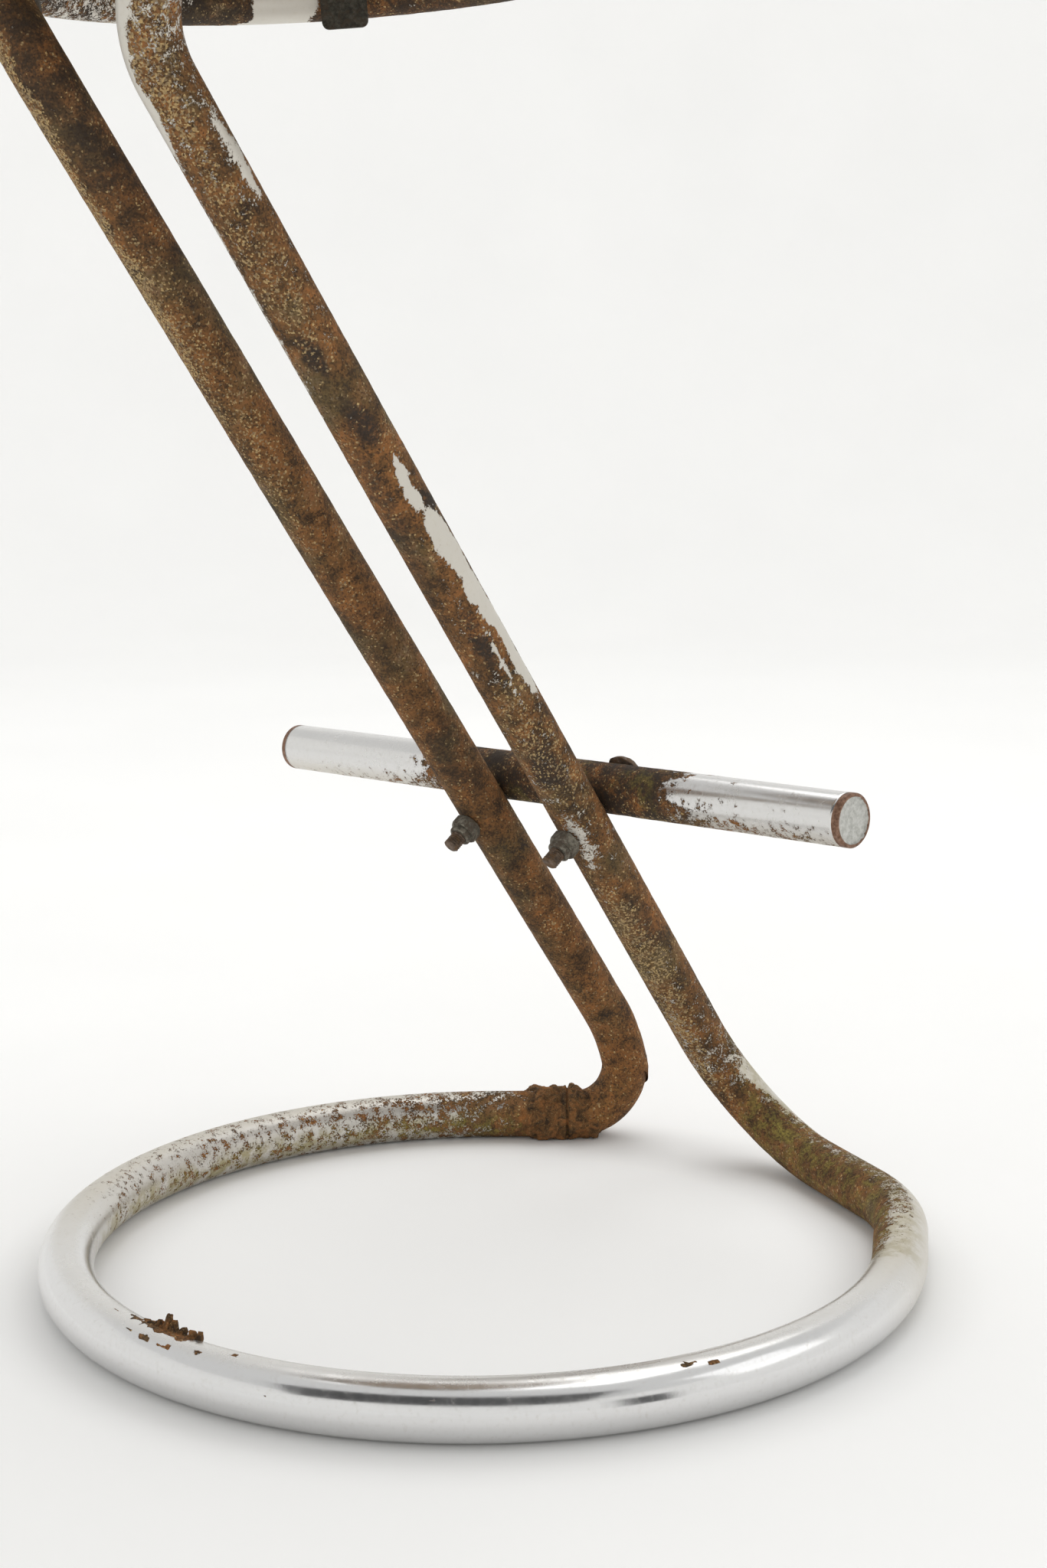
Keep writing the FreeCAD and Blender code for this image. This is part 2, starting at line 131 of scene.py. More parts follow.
camera_data = bpy.data.cameras.new("camera")
camera_data.lens = CAMERA_LENS
camera_data.sensor_width = CAMERA_SENSOR
camera = bpy.data.objects.new("camera", camera_data)
camera.matrix_world = (
    Matrix.Translation(CAMERA_AT)
    @ Matrix.Rotation(CAMERA_HEADING - math.pi / 2, 4, "Z")
    @ Matrix.Rotation(math.pi / 2 - CAMERA_DOWN, 4, "X")
    @ Matrix.Rotation(CAMERA_ROLL, 4, "Z")
)
bpy.context.scene.collection.objects.link(camera)
bpy.context.scene.camera = camera
bpy.context.scene.view_settings.view_transform = "Standard"


def area_light(name, place, size, power):
    """Square soft light aimed at the middle of the stool."""
    data = bpy.data.lights.new(name, "AREA")
    data.shape = "SQUARE"
    data.size = size
    data.energy = power
    lamp = bpy.data.objects.new(name, data)
    lamp.location = place
    aim = LIT_POINT - Vector(place)
    lamp.rotation_euler = aim.to_track_quat("-Z", "Y").to_euler()
    bpy.context.scene.collection.objects.link(lamp)


area_light("softbox_over", (0.5, -0.8, 2.7), 2.2, 20.0)
area_light("softbox_side", (-2.0, -1.4, 1.8), 1.4, 4.0)

world = bpy.data.worlds.new("studio")
bpy.context.scene.world = world
world.use_nodes = True
sky = world.node_tree.nodes["Background"]
sky.inputs["Color"].default_value = (0.985, 0.985, 0.975, 1.0)
sky.inputs["Strength"].default_value = SKY_STRENGTH


# ---- node materials -------------------------------------------------------------------

class Surface:
    """A node material being built. Each method adds a node and returns its output."""

    def __init__(self, name):
        self.material = bpy.data.materials.new(name)
        self.material.use_nodes = True
        self.tree = self.material.node_tree
        self.shader = self.tree.nodes["Principled BSDF"]
        self.place = self.tree.nodes.new("ShaderNodeTexCoord").outputs["Object"]

    def put(self, socket, value):
        if isinstance(value, bpy.types.NodeSocket):
            self.tree.links.new(value, socket)
        elif isinstance(value, tuple) and len(value) == 3 and socket.type == "RGBA":
            socket.default_value = (*value, 1.0)
        else:
            socket.default_value = value

    def add(self, kind, inputs, **settings):
        node = self.tree.nodes.new("ShaderNode" + kind)
        for key, value in settings.items():
            setattr(node, key, value)
        for key, value in inputs.items():
            self.put(node.inputs[key], value)
        return node

    def set(self, socket, value):
        self.put(self.shader.inputs[socket], value)

    def mask(self, name):
        return self.add("Attribute", {}, attribute_name=name).outputs["Fac"]

    def stretched(self, scale):
        return self.add("Mapping", {"Vector": self.place, "Scale": scale}).outputs["Vector"]

    def noise(self, scale, detail=4.0, roughness=0.6, place=None, warp=0.0):
        inputs = {"Vector": place or self.place, "Scale": scale, "Detail": detail,
                  "Roughness": roughness, "Distortion": warp}
        return self.add("TexNoise", inputs).outputs["Fac"]

    def cells(self, scale, feature="F1"):
        inputs = {"Vector": self.place, "Scale": scale}
        return self.add("TexVoronoi", inputs, feature=feature).outputs["Distance"]

    def grains(self, scale):
        """Three random values from 0 to 1, each constant over a small grain."""
        drift = self.add("TexNoise", {"Vector": self.place, "Scale": scale * 0.8}).outputs["Color"]
        wobble = self.add("VectorMath", {0: drift, 1: (0.7 / scale,) * 3, 2: self.place},
                          operation="MULTIPLY_ADD")
        voronoi = self.add("TexVoronoi", {"Vector": wobble.outputs[0], "Scale": scale})
        split = self.add("SeparateColor", {"Color": voronoi.outputs["Color"]})
        return split.outputs[0], split.outputs[1], split.outputs[2]

    def maths(self, operation, first, second=0.0, clamp=False):
        node = self.add("Math", {0: first, 1: second}, operation=operation, use_clamp=clamp)
        return node.outputs[0]

    plus = partialmethod(maths, "ADD")
    minus = partialmethod(maths, "SUBTRACT")
    times = partialmethod(maths, "MULTIPLY")

    def step(self, value, low, high, start=0.0, end=1.0):
        inputs = {"Value": value, "From Min": low, "From Max": high, "To Min": start, "To Max": end}
        node = self.add("MapRange", inputs, interpolation_type="SMOOTHSTEP")
        return node.outputs["Result"]

    def blend(self, factor, first, second):
        node = self.add("Mix", {}, data_type="RGBA")
        self.put(node.inputs[0], factor)
        self.put(node.inputs[6], first)
        self.put(node.inputs[7], second)
        return node.outputs[2]

    def ramp(self, value, stops):
        node = self.add("ValToRGB", {"Fac": value})
        elements = node.color_ramp.elements
        for element, (position, colour) in zip(elements, (stops[0], stops[-1])):
            element.position = position
            element.color = (*colour, 1.0)
        for position, colour in stops[1:-1]:
            elements.new(position).color = (*colour, 1.0)
        return node.outputs["Color"]

    def bump(self, height, distance, strength):
        inputs = {"Height": height, "Distance": distance, "Strength": strength}
        self.set("Normal", self.add("Bump", inputs).outputs["Normal"])


BROWN_DARK = (0.040, 0.026, 0.017)
BROWN = (0.120, 0.066, 0.029)
BROWN_ORANGE = (0.225, 0.105, 0.040)
ORANGE = (0.330, 0.138, 0.045)
OCHRE = (0.560, 0.400, 0.180)
OLIVE = (0.128, 0.088, 0.038)
SOOT = (0.044, 0.034, 0.027)
GREY_BROWN = (0.185, 0.135, 0.088)
MOSS = (0.300, 0.240, 0.060)
MOSS_DARK = (0.100, 0.075, 0.028)
CHROME = (0.760, 0.765, 0.780)
CHROME_DULL = (0.620, 0.585, 0.515)
RUST_GLOSS = 0.14


def rust_colour(s):
    """Grains of rust: broad soft zones of brown, olive and soot, with dark and ochre grains."""
    broad = s.noise(24.0, 4.0, 0.6)
    middle = s.noise(85.0, 6.0, 0.68)
    grain, grain_two, grain_three = s.grains(1250.0)
    tone = s.plus(middle, s.times(s.minus(grain, 0.5), 0.16))
    warm = s.ramp(tone, [(0.30, BROWN_DARK), (0.44, BROWN), (0.58, BROWN_ORANGE), (0.74, ORANGE)])
    cool = s.ramp(tone, [(0.30, SOOT), (0.50, OLIVE), (0.72, GREY_BROWN)])
    colour = s.blend(s.step(broad, 0.48, 0.66), warm, cool)
    glow = s.times(s.mask("orange"), s.step(tone, 0.32, 0.62), clamp=True)
    colour = s.blend(s.times(glow, 0.75), colour, s.blend(grain, BROWN_ORANGE, ORANGE))
    shade = s.times(s.mask("dark"), s.step(tone, 0.78, 0.38), clamp=True)
    colour = s.blend(shade, colour, SOOT)
    colour = s.blend(s.step(grain_two, 0.74, 0.92, 0.0, 0.65), colour, BROWN_DARK)
    level = s.plus(grain_three, s.times(s.mask("ochre"), 0.22))
    level = s.plus(level, s.times(s.minus(middle, 0.5), 0.6))
    specks = s.step(level, 0.93, 0.99, 0.0, 0.85)
    colour = s.blend(specks, colour, s.blend(grain, GREY_BROWN, OCHRE))
    green = s.times(s.mask("moss"), s.step(s.noise(190.0, 7.0, 0.72), 0.44, 0.60), clamp=True)
    return s.blend(green, colour, s.blend(grain, MOSS_DARK, MOSS))


def aged_steel(name):
    """Chromed tube whose plating is lost to rust where the rust mask is high."""
    s = Surface(name)
    haze = s.mask("haze")
    blots = s.noise(170.0, 10.0, 0.72)
    grain = s.noise(900.0, 6.0, 0.7)
    spots = s.minus(0.75, s.cells(240.0))
    speckle = s.minus(s.grains(1500.0)[0], 0.5)
    level = s.plus(s.times(blots, 0.56), s.times(grain, 0.28))
    level = s.plus(level, s.times(spots, 0.20))
    level = s.plus(level, s.times(s.times(speckle, haze), 0.20))
    level = s.plus(level, s.mask("rust"))
    cover = s.step(level, 0.985, 1.015)
    halo = s.times(s.step(level, 0.90, 1.0), haze)

    cloud = s.plus(haze, s.step(s.noise(420.0, 5.0, 0.7), 0.50, 0.80, 0.0, 0.22), clamp=True)
    plate = s.blend(cloud, CHROME, CHROME_DULL)
    plate = s.blend(s.times(halo, 0.5), plate, GREY_BROWN)
    film = s.times(s.mask("moss"), s.step(s.noise(90.0, 5.0, 0.7), 0.38, 0.60), clamp=True)
    plate = s.blend(s.times(film, 0.8), plate, MOSS)
    s.set("Base Color", s.blend(cover, plate, rust_colour(s)))

    covered = s.maths("MAXIMUM", cover, s.times(film, 0.75))
    covered = s.maths("MAXIMUM", covered, s.times(cloud, 0.35))
    s.set("Metallic", s.minus(1.0, covered, clamp=True))
    smears = s.noise(60.0, 6.0, 0.7, place=s.stretched((1.0, 1.0, 0.35)))
    shine = s.plus(s.times(cloud, 0.42), s.step(smears, 0.35, 0.70, 0.06, 0.15))
    dull = s.step(grain, 0.3, 0.7, 0.62, 0.88)
    rough = s.add("Mix", {}, data_type="FLOAT")
    s.put(rough.inputs[0], cover)
    s.put(rough.inputs[2], shine)
    s.put(rough.inputs[3], dull)
    s.set("Roughness", rough.outputs[0])
    s.set("Specular IOR Level", s.step(cover, 0.0, 1.0, 0.5, RUST_GLOSS))

    scale = s.times(cover, s.plus(s.noise(950.0, 6.0, 0.7), s.noise(260.0, 4.0, 0.6)))
    relief = s.plus(scale, s.times(s.noise(1400.0, 3.0, 0.6), 0.02))
    s.bump(relief, 0.0005, 0.8)
    return s.material


def crusty_rust(name):
    """Thick flaking rust with no plating left."""
    s = Surface(name)
    middle = s.noise(170.0, 6.0, 0.7, warp=0.8)
    fine = s.noise(1000.0, 4.0, 0.7)
    colour = s.ramp(middle, [
        (0.36, BROWN_DARK), (0.46, BROWN), (0.56, BROWN_ORANGE), (0.67, ORANGE)])
    colour = s.blend(s.step(fine, 0.56, 0.72, 0.0, 0.8), colour, BROWN_DARK)
    specks = s.step(s.noise(1300.0, 2.0, 0.5), 0.60, 0.68, 0.0, 0.3)
    s.set("Base Color", s.blend(specks, colour, OCHRE))
    s.set("Roughness", s.step(fine, 0.3, 0.7, 0.70, 0.95))
    s.set("Specular IOR Level", RUST_GLOSS)
    height = s.plus(s.noise(500.0, 7.0, 0.75), s.times(s.cells(380.0), 0.6))
    s.bump(height, 0.0010, 0.9)
    return s.material


def dull_metal(name, low, high, roughness, metallic=0.7, grime=BROWN_DARK, grime_share=0.5):
    """Worn small hardware: two metal tones, grime in blots, fine pits."""
    s = Surface(name)
    middle = s.noise(330.0, 5.0, 0.65)
    fine = s.noise(1600.0, 4.0, 0.7)
    dirt = s.step(s.noise(240.0, 7.0, 0.7), 0.62 - 0.3 * grime_share, 0.72 - 0.3 * grime_share)
    colour = s.blend(s.step(middle, 0.35, 0.65), low, high)
    colour = s.blend(s.step(fine, 0.50, 0.72, 0.0, 0.5), colour, low)
    s.set("Base Color", s.blend(s.times(dirt, 0.85), colour, grime))
    s.set("Metallic", s.times(s.minus(1.0, dirt), metallic))
    worn = s.step(fine, 0.3, 0.7, roughness, roughness + 0.15)
    s.set("Roughness", s.plus(s.times(dirt, 0.3), worn))
    s.bump(s.plus(fine, dirt), 0.00025, 0.6)
    return s.material


def cap_metal(name, node):
    """Pressed end cap: pale brushed disc, copper-brown rim, dark line where it meets the tube."""
    s = Surface(name)
    low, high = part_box(node)
    middle = (low + high) / 2
    offset = s.add("VectorMath", {0: s.place, 1: tuple(middle)}, operation="SUBTRACT").outputs[0]
    flat = s.add("VectorMath", {0: offset, 1: (0.0, 1.0, 1.0)}, operation="MULTIPLY").outputs[0]
    radius = s.add("VectorMath", {0: flat}, operation="LENGTH").outputs["Value"]
    wobble = s.times(s.minus(s.noise(300.0, 4.0), 0.5), 0.0012)
    rim = s.step(s.plus(radius, wobble), 0.0106, 0.0110)
    stain = s.noise(420.0, 6.0, 0.7)
    disc = s.ramp(stain, [
        (0.35, (0.36, 0.36, 0.33)), (0.55, (0.55, 0.55, 0.52)), (0.75, (0.66, 0.66, 0.63))])
    copper = s.ramp(s.noise(500.0, 5.0, 0.7), [
        (0.35, (0.10, 0.05, 0.03)), (0.55, (0.25, 0.14, 0.09)), (0.75, (0.40, 0.29, 0.22))])
    s.set("Base Color", s.blend(rim, disc, copper))
    s.set("Metallic", s.step(rim, 0.0, 1.0, 0.35, 0.6))
    s.set("Roughness", s.step(stain, 0.3, 0.7, 0.42, 0.60))
    s.bump(s.noise(1300.0, 4.0, 0.7), 0.0002, 0.5)
    return s.material


def plywood(name):
    s = Surface(name)
    grain = s.noise(55.0, 8.0, 0.65, place=s.stretched((14.0, 1.0, 1.0)))
    colour = s.ramp(grain, [
        (0.30, (0.20, 0.12, 0.06)), (0.50, (0.36, 0.24, 0.13)), (0.70, (0.50, 0.36, 0.21))])
    plies = s.add("TexWave", {"Vector": s.place, "Scale": 120.0, "Distortion": 1.2},
                  bands_direction="Z").outputs["Fac"]
    colour = s.blend(s.step(plies, 0.4, 0.6, 0.0, 0.25), colour, (0.16, 0.09, 0.045))
    stains = s.step(s.noise(14.0, 6.0, 0.7), 0.50, 0.72, 0.0, 0.55)
    s.set("Base Color", s.blend(stains, colour, (0.10, 0.065, 0.04)))
    s.set("Roughness", s.step(grain, 0.3, 0.7, 0.65, 0.85))
    s.bump(grain, 0.0006, 0.6)
    return s.material


def vinyl(name, dark, light):
    """Leather-grained upholstery vinyl, a little dusty, worn paler where it is rubbed."""
    s = Surface(name)
    creases = s.cells(620.0, feature="DISTANCE_TO_EDGE")
    folds = s.noise(1500.0, 4.0, 0.6)
    dust = s.step(s.noise(34.0, 7.0, 0.7), 0.46, 0.74, 0.0, 0.55)
    colour = s.blend(s.step(folds, 0.4, 0.7), dark, light)
    colour = s.blend(dust, colour, (0.085, 0.078, 0.068))
    s.set("Base Color", colour)
    s.set("Roughness", s.step(s.noise(70.0, 5.0, 0.7), 0.3, 0.7, 0.36, 0.56))
    grain = s.plus(s.step(creases, 0.0, 0.12), s.times(folds, 0.4))
    s.bump(grain, 0.00035, 0.7)
    s.set("Specular IOR Level", 0.45)
    return s.material


def nylon(name):
    s = Surface(name)
    marks = s.noise(900.0, 5.0, 0.7)
    s.set("Base Color", s.ramp(marks, [(0.3, (0.45, 0.42, 0.33)), (0.7, (0.70, 0.68, 0.60))]))
    s.set("Roughness", s.step(marks, 0.3, 0.7, 0.45, 0.65))
    s.bump(marks, 0.0002, 0.5)
    return s.material


PAPER_GLOW_NEAR = 0.125     # round the stool, where its shadow falls
PAPER_GLOW_FAR = 0.165      # evens out the backdrop


def studio_paper(name):
    """Matt white floor with the faintest mottling; it glows faintly, and the glow is cut out in a band
    along the base ring, a painted contact shadow.
    """
    s = Surface(name)
    tone = s.noise(2.5, 6.0, 0.6)
    s.set("Base Color", s.ramp(tone, [(0.3, (0.860, 0.858, 0.850)), (0.7, (0.890, 0.888, 0.880))]))
    s.set("Roughness", s.step(tone, 0.3, 0.7, 0.85, 0.95))
    s.set("Emission Color", (1.0, 1.0, 0.992))
    away = s.add("VectorMath", {0: s.place}, operation="LENGTH").outputs["Value"]
    glow = s.step(away, 0.4, 3.0, PAPER_GLOW_NEAR, PAPER_GLOW_FAR)
    ring_distance_for_painted_shadow = s.maths("ABSOLUTE", s.minus(away, BASE_RING_R))
    # no glow close beside the base ring: a painted contact shadow at the ring's foot, which the chrome's
    # underside also reflects dark
    s.set("Emission Strength", s.times(glow, s.step(ring_distance_for_painted_shadow, 0.004, 0.045)))
    return s.material


STEEL = aged_steel("aged_steel")
CRUST = crusty_rust("crusty_rust")
BOLT = dull_metal("bolt_steel", (0.075, 0.052, 0.036), (0.200, 0.140, 0.100), 0.60,
                  metallic=0.4, grime=BROWN)
NUT = dull_metal("dull_nut", (0.100, 0.092, 0.072), (0.270, 0.245, 0.195), 0.45,
                 grime=(0.07, 0.05, 0.032))
LUG = dull_metal("lug_steel", (0.045, 0.044, 0.036), (0.120, 0.115, 0.095), 0.55,
                 grime=(0.06, 0.045, 0.03))
SCREW = dull_metal("screw_steel", (0.20, 0.19, 0.17), (0.42, 0.40, 0.36), 0.35, grime_share=0.3)
BARE = dull_metal("bare_steel", (0.16, 0.15, 0.14), (0.34, 0.33, 0.31), 0.40, grime_share=0.4)


# ---- mesh helpers ---------------------------------------------------------------------

def field(at, scale, seed=0):
    """Smooth random value from 0 to 1 at each row of at, with features 1/scale across."""
    cell = np.floor(at * scale).astype(np.int64)
    part = at * scale - cell
    part = part * part * (3.0 - 2.0 * part)
    total = np.zeros(len(at))
    for corner in itertools.product((0, 1), repeat=3):
        key = (cell + corner) * (73856093, 19349663, 83492791)
        mixed = (key[:, 0] ^ key[:, 1] ^ key[:, 2] ^ (seed * 2654435761)) & 0xFFFFFFFF
        mixed = ((mixed ^ (mixed >> 13)) * 1274126177) & 0xFFFFFFFF
        value = ((mixed ^ (mixed >> 16)) & 0xFFFF) / 65535.0
        total += value * np.prod(np.where(np.array(corner) == 1, part, 1.0 - part), axis=1)
    return total


def layered(at, scale, octaves, seed=0):
    """Sum of fields, each twice as fine and half as strong, from 0 to 1."""
    total = sum(field(at, scale * 2 ** n, seed + n) / 2 ** n for n in range(octaves))
    return total / sum(0.5 ** n for n in range(octaves))


def smooth(value, low, high):
    part = np.clip((value - low) / (high - low), 0.0, 1.0)
    return part * part * (3.0 - 2.0 * part)


def new_piece(name, points, faces, material, replaced=(), masks=None, flat=False):
    """Mesh object that rides with the stool, with its finish and mask attributes."""
    mesh = bpy.data.meshes.new(name)
    mesh.from_pydata([tuple(point) for point in points], [], faces)
    mesh.validate()
    mesh.update()
    for key, values in (masks or {}).items():
        layer = mesh.attributes.new(key, "FLOAT", "POINT")
        layer.data.foreach_set("value", np.asarray(values, dtype=np.float32))
    if not flat:
        mesh.shade_smooth()
    mesh.materials.append(material)
    piece = bpy.data.objects.new(name, mesh)
    bpy.context.scene.collection.objects.link(piece)
    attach(piece, "root")
    if replaced:
        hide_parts(*replaced)
    return piece


def grid_faces(rows, columns, closed_rows=False):
    """Quads between rows of points; columns always close on themselves."""
    faces = []
    for i in range(rows if closed_rows else rows - 1):
        here, there = i * columns, (i + 1) % rows * columns
        for j in range(columns):
            k = (j + 1) % columns
            faces.append((here + j, here + k, there + k, there + j))
    return faces


def tube_faces(rows, columns):
    """Faces of a tube of points with a cap on each end."""
    ends = [tuple(range(columns))[::-1], tuple((rows - 1) * columns + j for j in range(columns))]
    return grid_faces(rows, columns) + ends


def turned(outline, around):
    """Points of a turned shape, given as (radius, height) pairs."""
    turns = [2 * math.pi * j / around for j in range(around)]
    return [(radius * math.cos(t), radius * math.sin(t), height)
            for radius, height in outline for t in turns]


def carried(path, closed=False):
    """Two axes across the path at each point, turned as little as possible along it."""
    if closed:
        tangent = np.roll(path, -1, axis=0) - np.roll(path, 1, axis=0)
    else:
        tangent = np.gradient(path, axis=0)
    tangent /= np.linalg.norm(tangent, axis=1)[:, None]
    across = np.zeros_like(path)
    start = np.cross(tangent[0], (0.0, 0.0, 1.0) if abs(tangent[0][2]) < 0.9 else (1.0, 0.0, 0.0))
    across[0] = start / np.linalg.norm(start)
    for i in range(1, len(path)):
        side = across[i - 1] - tangent[i] * np.dot(across[i - 1], tangent[i])
        across[i] = side / np.linalg.norm(side)
    return across, np.cross(tangent, across)


def swept(path, radius, around, closed=False):
    """Points and outward normals of a round tube along path, ring by ring."""
    first, second = carried(path, closed)
    turn = np.linspace(0.0, 2.0 * math.pi, around, endpoint=False)
    out = (np.cos(turn)[None, :, None] * first[:, None, :]
           + np.sin(turn)[None, :, None] * second[:, None, :])
    surface = path[:, None, :] + out * np.reshape(radius, (-1, 1, 1))
    return surface.reshape(-1, 3), out.reshape(-1, 3)


# ---- the frame's centreline -----------------------------------------------------------

STEP = 0.0015


class Route:
    """Points along a tube's straight runs and tangent bends."""

    def __init__(self):
        self.points = []

    def line(self, start, end):
        count = max(1, round((end - start).length / STEP))
        self.points += [start.lerp(end, i / count) for i in range(count + 1)]

    def arc(self, start, centre, axis, angle):
        count = max(2, round((start - centre).length * abs(angle) / STEP))
        turns = (Matrix.Rotation(angle * i / count, 3, axis) for i in range(count + 1))
        self.points += [centre + turn @ (start - centre) for turn in turns]

    def ring(self, place, radius, first, last):
        """Arc of a flat ring in a placement, from one angle to another."""
        start = ring_point(place, radius, first)
        self.arc(start, place.translation, place.to_3x3() @ Vector((0, 0, 1)), last - first)

    def corners(self, points, radii):
        here = points[0]
        for before, corner, after, radius in zip(points, points[1:], points[2:], radii):
            into = (corner - before).normalized()
            out = (after - corner).normalized()
            turn = into.angle(out)
            start = corner - into * (radius * math.tan(turn / 2))
            axis = into.cross(out).normalized()
            self.line(here, start)
            self.arc(start, start + axis.cross(into) * radius, axis, turn)
            here = self.points[-1]
        self.line(here, points[-1])

    def path(self):
        """The points as an array, with doubles left out."""
        kept = [self.points[0]]
        for point in self.points[1:]:
            if (point - kept[-1]).length > 0.2 * STEP:
                kept.append(point)
        return np.array([tuple(point) for point in kept])


def ring_point(place, radius, angle):
    return place @ Vector((radius * math.cos(angle), radius * math.sin(angle), 0))


def tangent_angle(point, radius, turn):
    return math.atan2(point.y, point.x) + turn * math.acos(radius / math.hypot(point.x, point.y))


def seat_corner(side):
    """Where a strut's line meets the seat ring's plane."""
    foot = strut_point(side, TUBE_R)
    along = strut_point(side, SEAT_RING_Z) - foot
    return foot + along * ((SEAT_MIDDLE - foot).dot(SEAT_UP) / along.dot(SEAT_UP))


def seat_neck_angle(side):
    return tangent_angle(SEAT_FRAME.inverted() @ seat_corner(side), SEAT_RING_R, -SIDE[side])


left_knee = strut_point("left", LEFT_KNEE_Z)
left_foot = Vector((left_knee.x, left_knee.y, TUBE_R)) - LEFT_FOOT_STEP
left_ring_angle = tangent_angle(left_foot, BASE_RING_R, 1)
right_ring_angle = tangent_angle(RIGHT_BEND, BASE_RING_R, -1) + 2 * math.pi
seat_joint_angle = seat_neck_angle("right") + SEAT_JOINT_ANGLE

ring_end = ring_point(FLOOR_FRAME, BASE_RING_R, left_ring_angle)
foot_heading = (ring_end - left_foot).normalized()
foot_turn = (left_foot - left_knee).normalized().angle(foot_heading)
foot_joint = left_foot + foot_heading * (LEFT_FOOT_R * math.tan(foot_turn / 2) + FOOT_JOINT_RUN)


def lower_path():
    """Base ring from the left foot's joint, right foot, right strut, seat ring's neck."""
    route = Route()
    route.line(foot_joint + foot_heading * SEAM_GAP, ring_end)
    route.ring(FLOOR_FRAME, BASE_RING_R, left_ring_angle, right_ring_angle)
    neck = seat_neck_angle("right")
    route.corners(
        [ring_point(FLOOR_FRAME, BASE_RING_R, right_ring_angle), RIGHT_BEND,
         strut_point("right", TUBE_R), seat_corner("right"),
         ring_point(SEAT_FRAME, SEAT_RING_R, neck)],
        [RIGHT_BEND_R, RIGHT_FOOT_R, SEAT_BEND_R])
    route.ring(SEAT_FRAME, SEAT_RING_R, neck, seat_joint_angle - SEAM_GAP / SEAT_RING_R)
    return route.path()


def upper_path():
    """Seat ring from its joint, left neck, left strut, left foot down to its joint."""
    route = Route()
    neck = seat_neck_angle("left") + 2 * math.pi
    route.ring(SEAT_FRAME, SEAT_RING_R, seat_joint_angle, neck)
    route.corners(
        [ring_point(SEAT_FRAME, SEAT_RING_R, neck), seat_corner("left"),
         left_knee, left_foot, foot_joint],
        [SEAT_BEND_R, LEFT_KNEE_R, LEFT_FOOT_R])
    return route.path()


# ---- where the frame is rusted, sooty, mossy and still chromed -------------------------

# degrees round the base ring: how much plating is lost there
RING_RUST = ([-80, -62, -50, -35, -10, 15, 35, 50, 65, 80, 180, 196, 210, 222, 240],
             [0.95, 0.84, 0.60, 0.48, 0.41, 0.40, 0.37, 0.30, 0.18, 0.08, 0.06, 0.20, 0.36, 0.46, 0.60])
# height up each strut: the same
RIGHT_RUST = ([0.03, 0.08, 0.13, 0.20, 0.40, 0.50, 0.56, 0.62],
              [0.60, 0.62, 0.72, 0.66, 0.74, 0.64, 0.56, 0.62])
LEFT_RUST = ([0.03, 0.10, 0.40, 0.50, 0.62], [0.85, 0.80, 0.80, 0.76, 0.72])

# on each strut: height, degrees round it (0 is the outer right side, 90 the upper side),
# half height and half width of the patch, and how much
PLATED = {
    "right": [
        (0.360, -6, 0.012, 16, 0.55), (0.334, 4, 0.014, 30, 0.75), (0.312, 14, 0.022, 26, 0.75),
        (0.284, 28, 0.024, 22, 0.65), (0.276, -20, 0.020, 5, 0.40), (0.184, -66, 0.016, 24, 0.18),
        (0.488, 14, 0.016, 20, 0.28), (0.560, -105, 0.040, 34, 0.48), (0.510, -112, 0.030, 22, 0.45),
        (0.420, -118, 0.060, 14, 0.22),
    ],
    "left": [
        (0.500, -126, 0.070, 14, 0.30),
    ],
}
SOOTY = {
    "right": [
        (0.412, -52, 0.010, 26, 1.0), (0.385, -30, 0.014, 30, 1.0), (0.352, 22, 0.012, 26, 1.1),
        (0.288, -36, 0.016, 26, 1.1), (0.345, -80, 0.030, 30, 0.6), (0.225, -40, 0.018, 50, 0.9),
        (0.140, -20, 0.016, 40, 0.6),
    ],
    "left": [
        (0.540, -20, 0.060, 75, 0.6), (0.470, 0, 0.050, 60, 0.35), (0.290, -60, 0.025, 60, 0.3),
        (0.225, -30, 0.022, 60, 0.5), (0.140, -60, 0.020, 40, 0.3),
    ],
}
RUSTY = {
    "right": [
        (0.365, -40, 0.030, 40, 0.8), (0.300, -20, 0.050, 40, 0.6), (0.150, 30, 0.050, 50, 0.5),
    ],
    "left": [
        (0.380, -30, 0.090, 70, 0.5), (0.180, 10, 0.030, 50, 0.5), (0.060, -40, 0.050, 180, 0.8),
    ],
}
OCHRE_FLECKED = {
    "right": [
        (0.545, -60, 0.070, 55, 1.7), (0.450, -50, 0.040, 50, 1.0), (0.230, -30, 0.050, 60, 0.8),
        (0.120, -70, 0.050, 60, 1.4), (0.060, -90, 0.035, 50, 1.9),
    ],
    "left": [
        (0.490, -100, 0.110, 32, 2.4), (0.400, -60, 0.080, 60, 0.6),
    ],
}

# on the base ring: degrees round the ring, degrees round the tube (0 outward, 90 up,
# 180 inward), half width of the pit each way, and how much
PITS = [
    (93.0, 61, 2.0, 9, 0.75), (96.4, 60, 1.5, 7, 0.75), (101.2, 68, 1.1, 6, 0.7),
    (106.0, 86, 1.0, 6, 0.65), (89.4, 66, 1.0, 6, 0.65), (84.0, 90, 1.4, 6, 0.6),
    (94.0, 100, 7.0, 20, 0.85), (131.0, 40, 0.9, 6, 0.6), (146.0, 15, 0.8, 6, 0.5),
    (160.0, 68, 1.5, 9, 0.65), (163.0, 60, 1.1, 7, 0.6), (112.0, 20, 0.7, 5, 0.5),
]


def strut_patches(z, round_it, right, patches):
    """Sum of oval patches on the struts."""
    total = np.zeros(len(z))
    for here, side in ((right, "right"), (~right, "left")):
        for height, turn, half_height, half_turn, amount in patches[side]:
            away = (round_it - turn + 180.0) % 360.0 - 180.0
            reach = np.hypot((z - height) / half_height, away / half_turn)
            total += np.where(here, amount * (1.0 - smooth(reach, 0.55, 1.15)), 0.0)
    return total


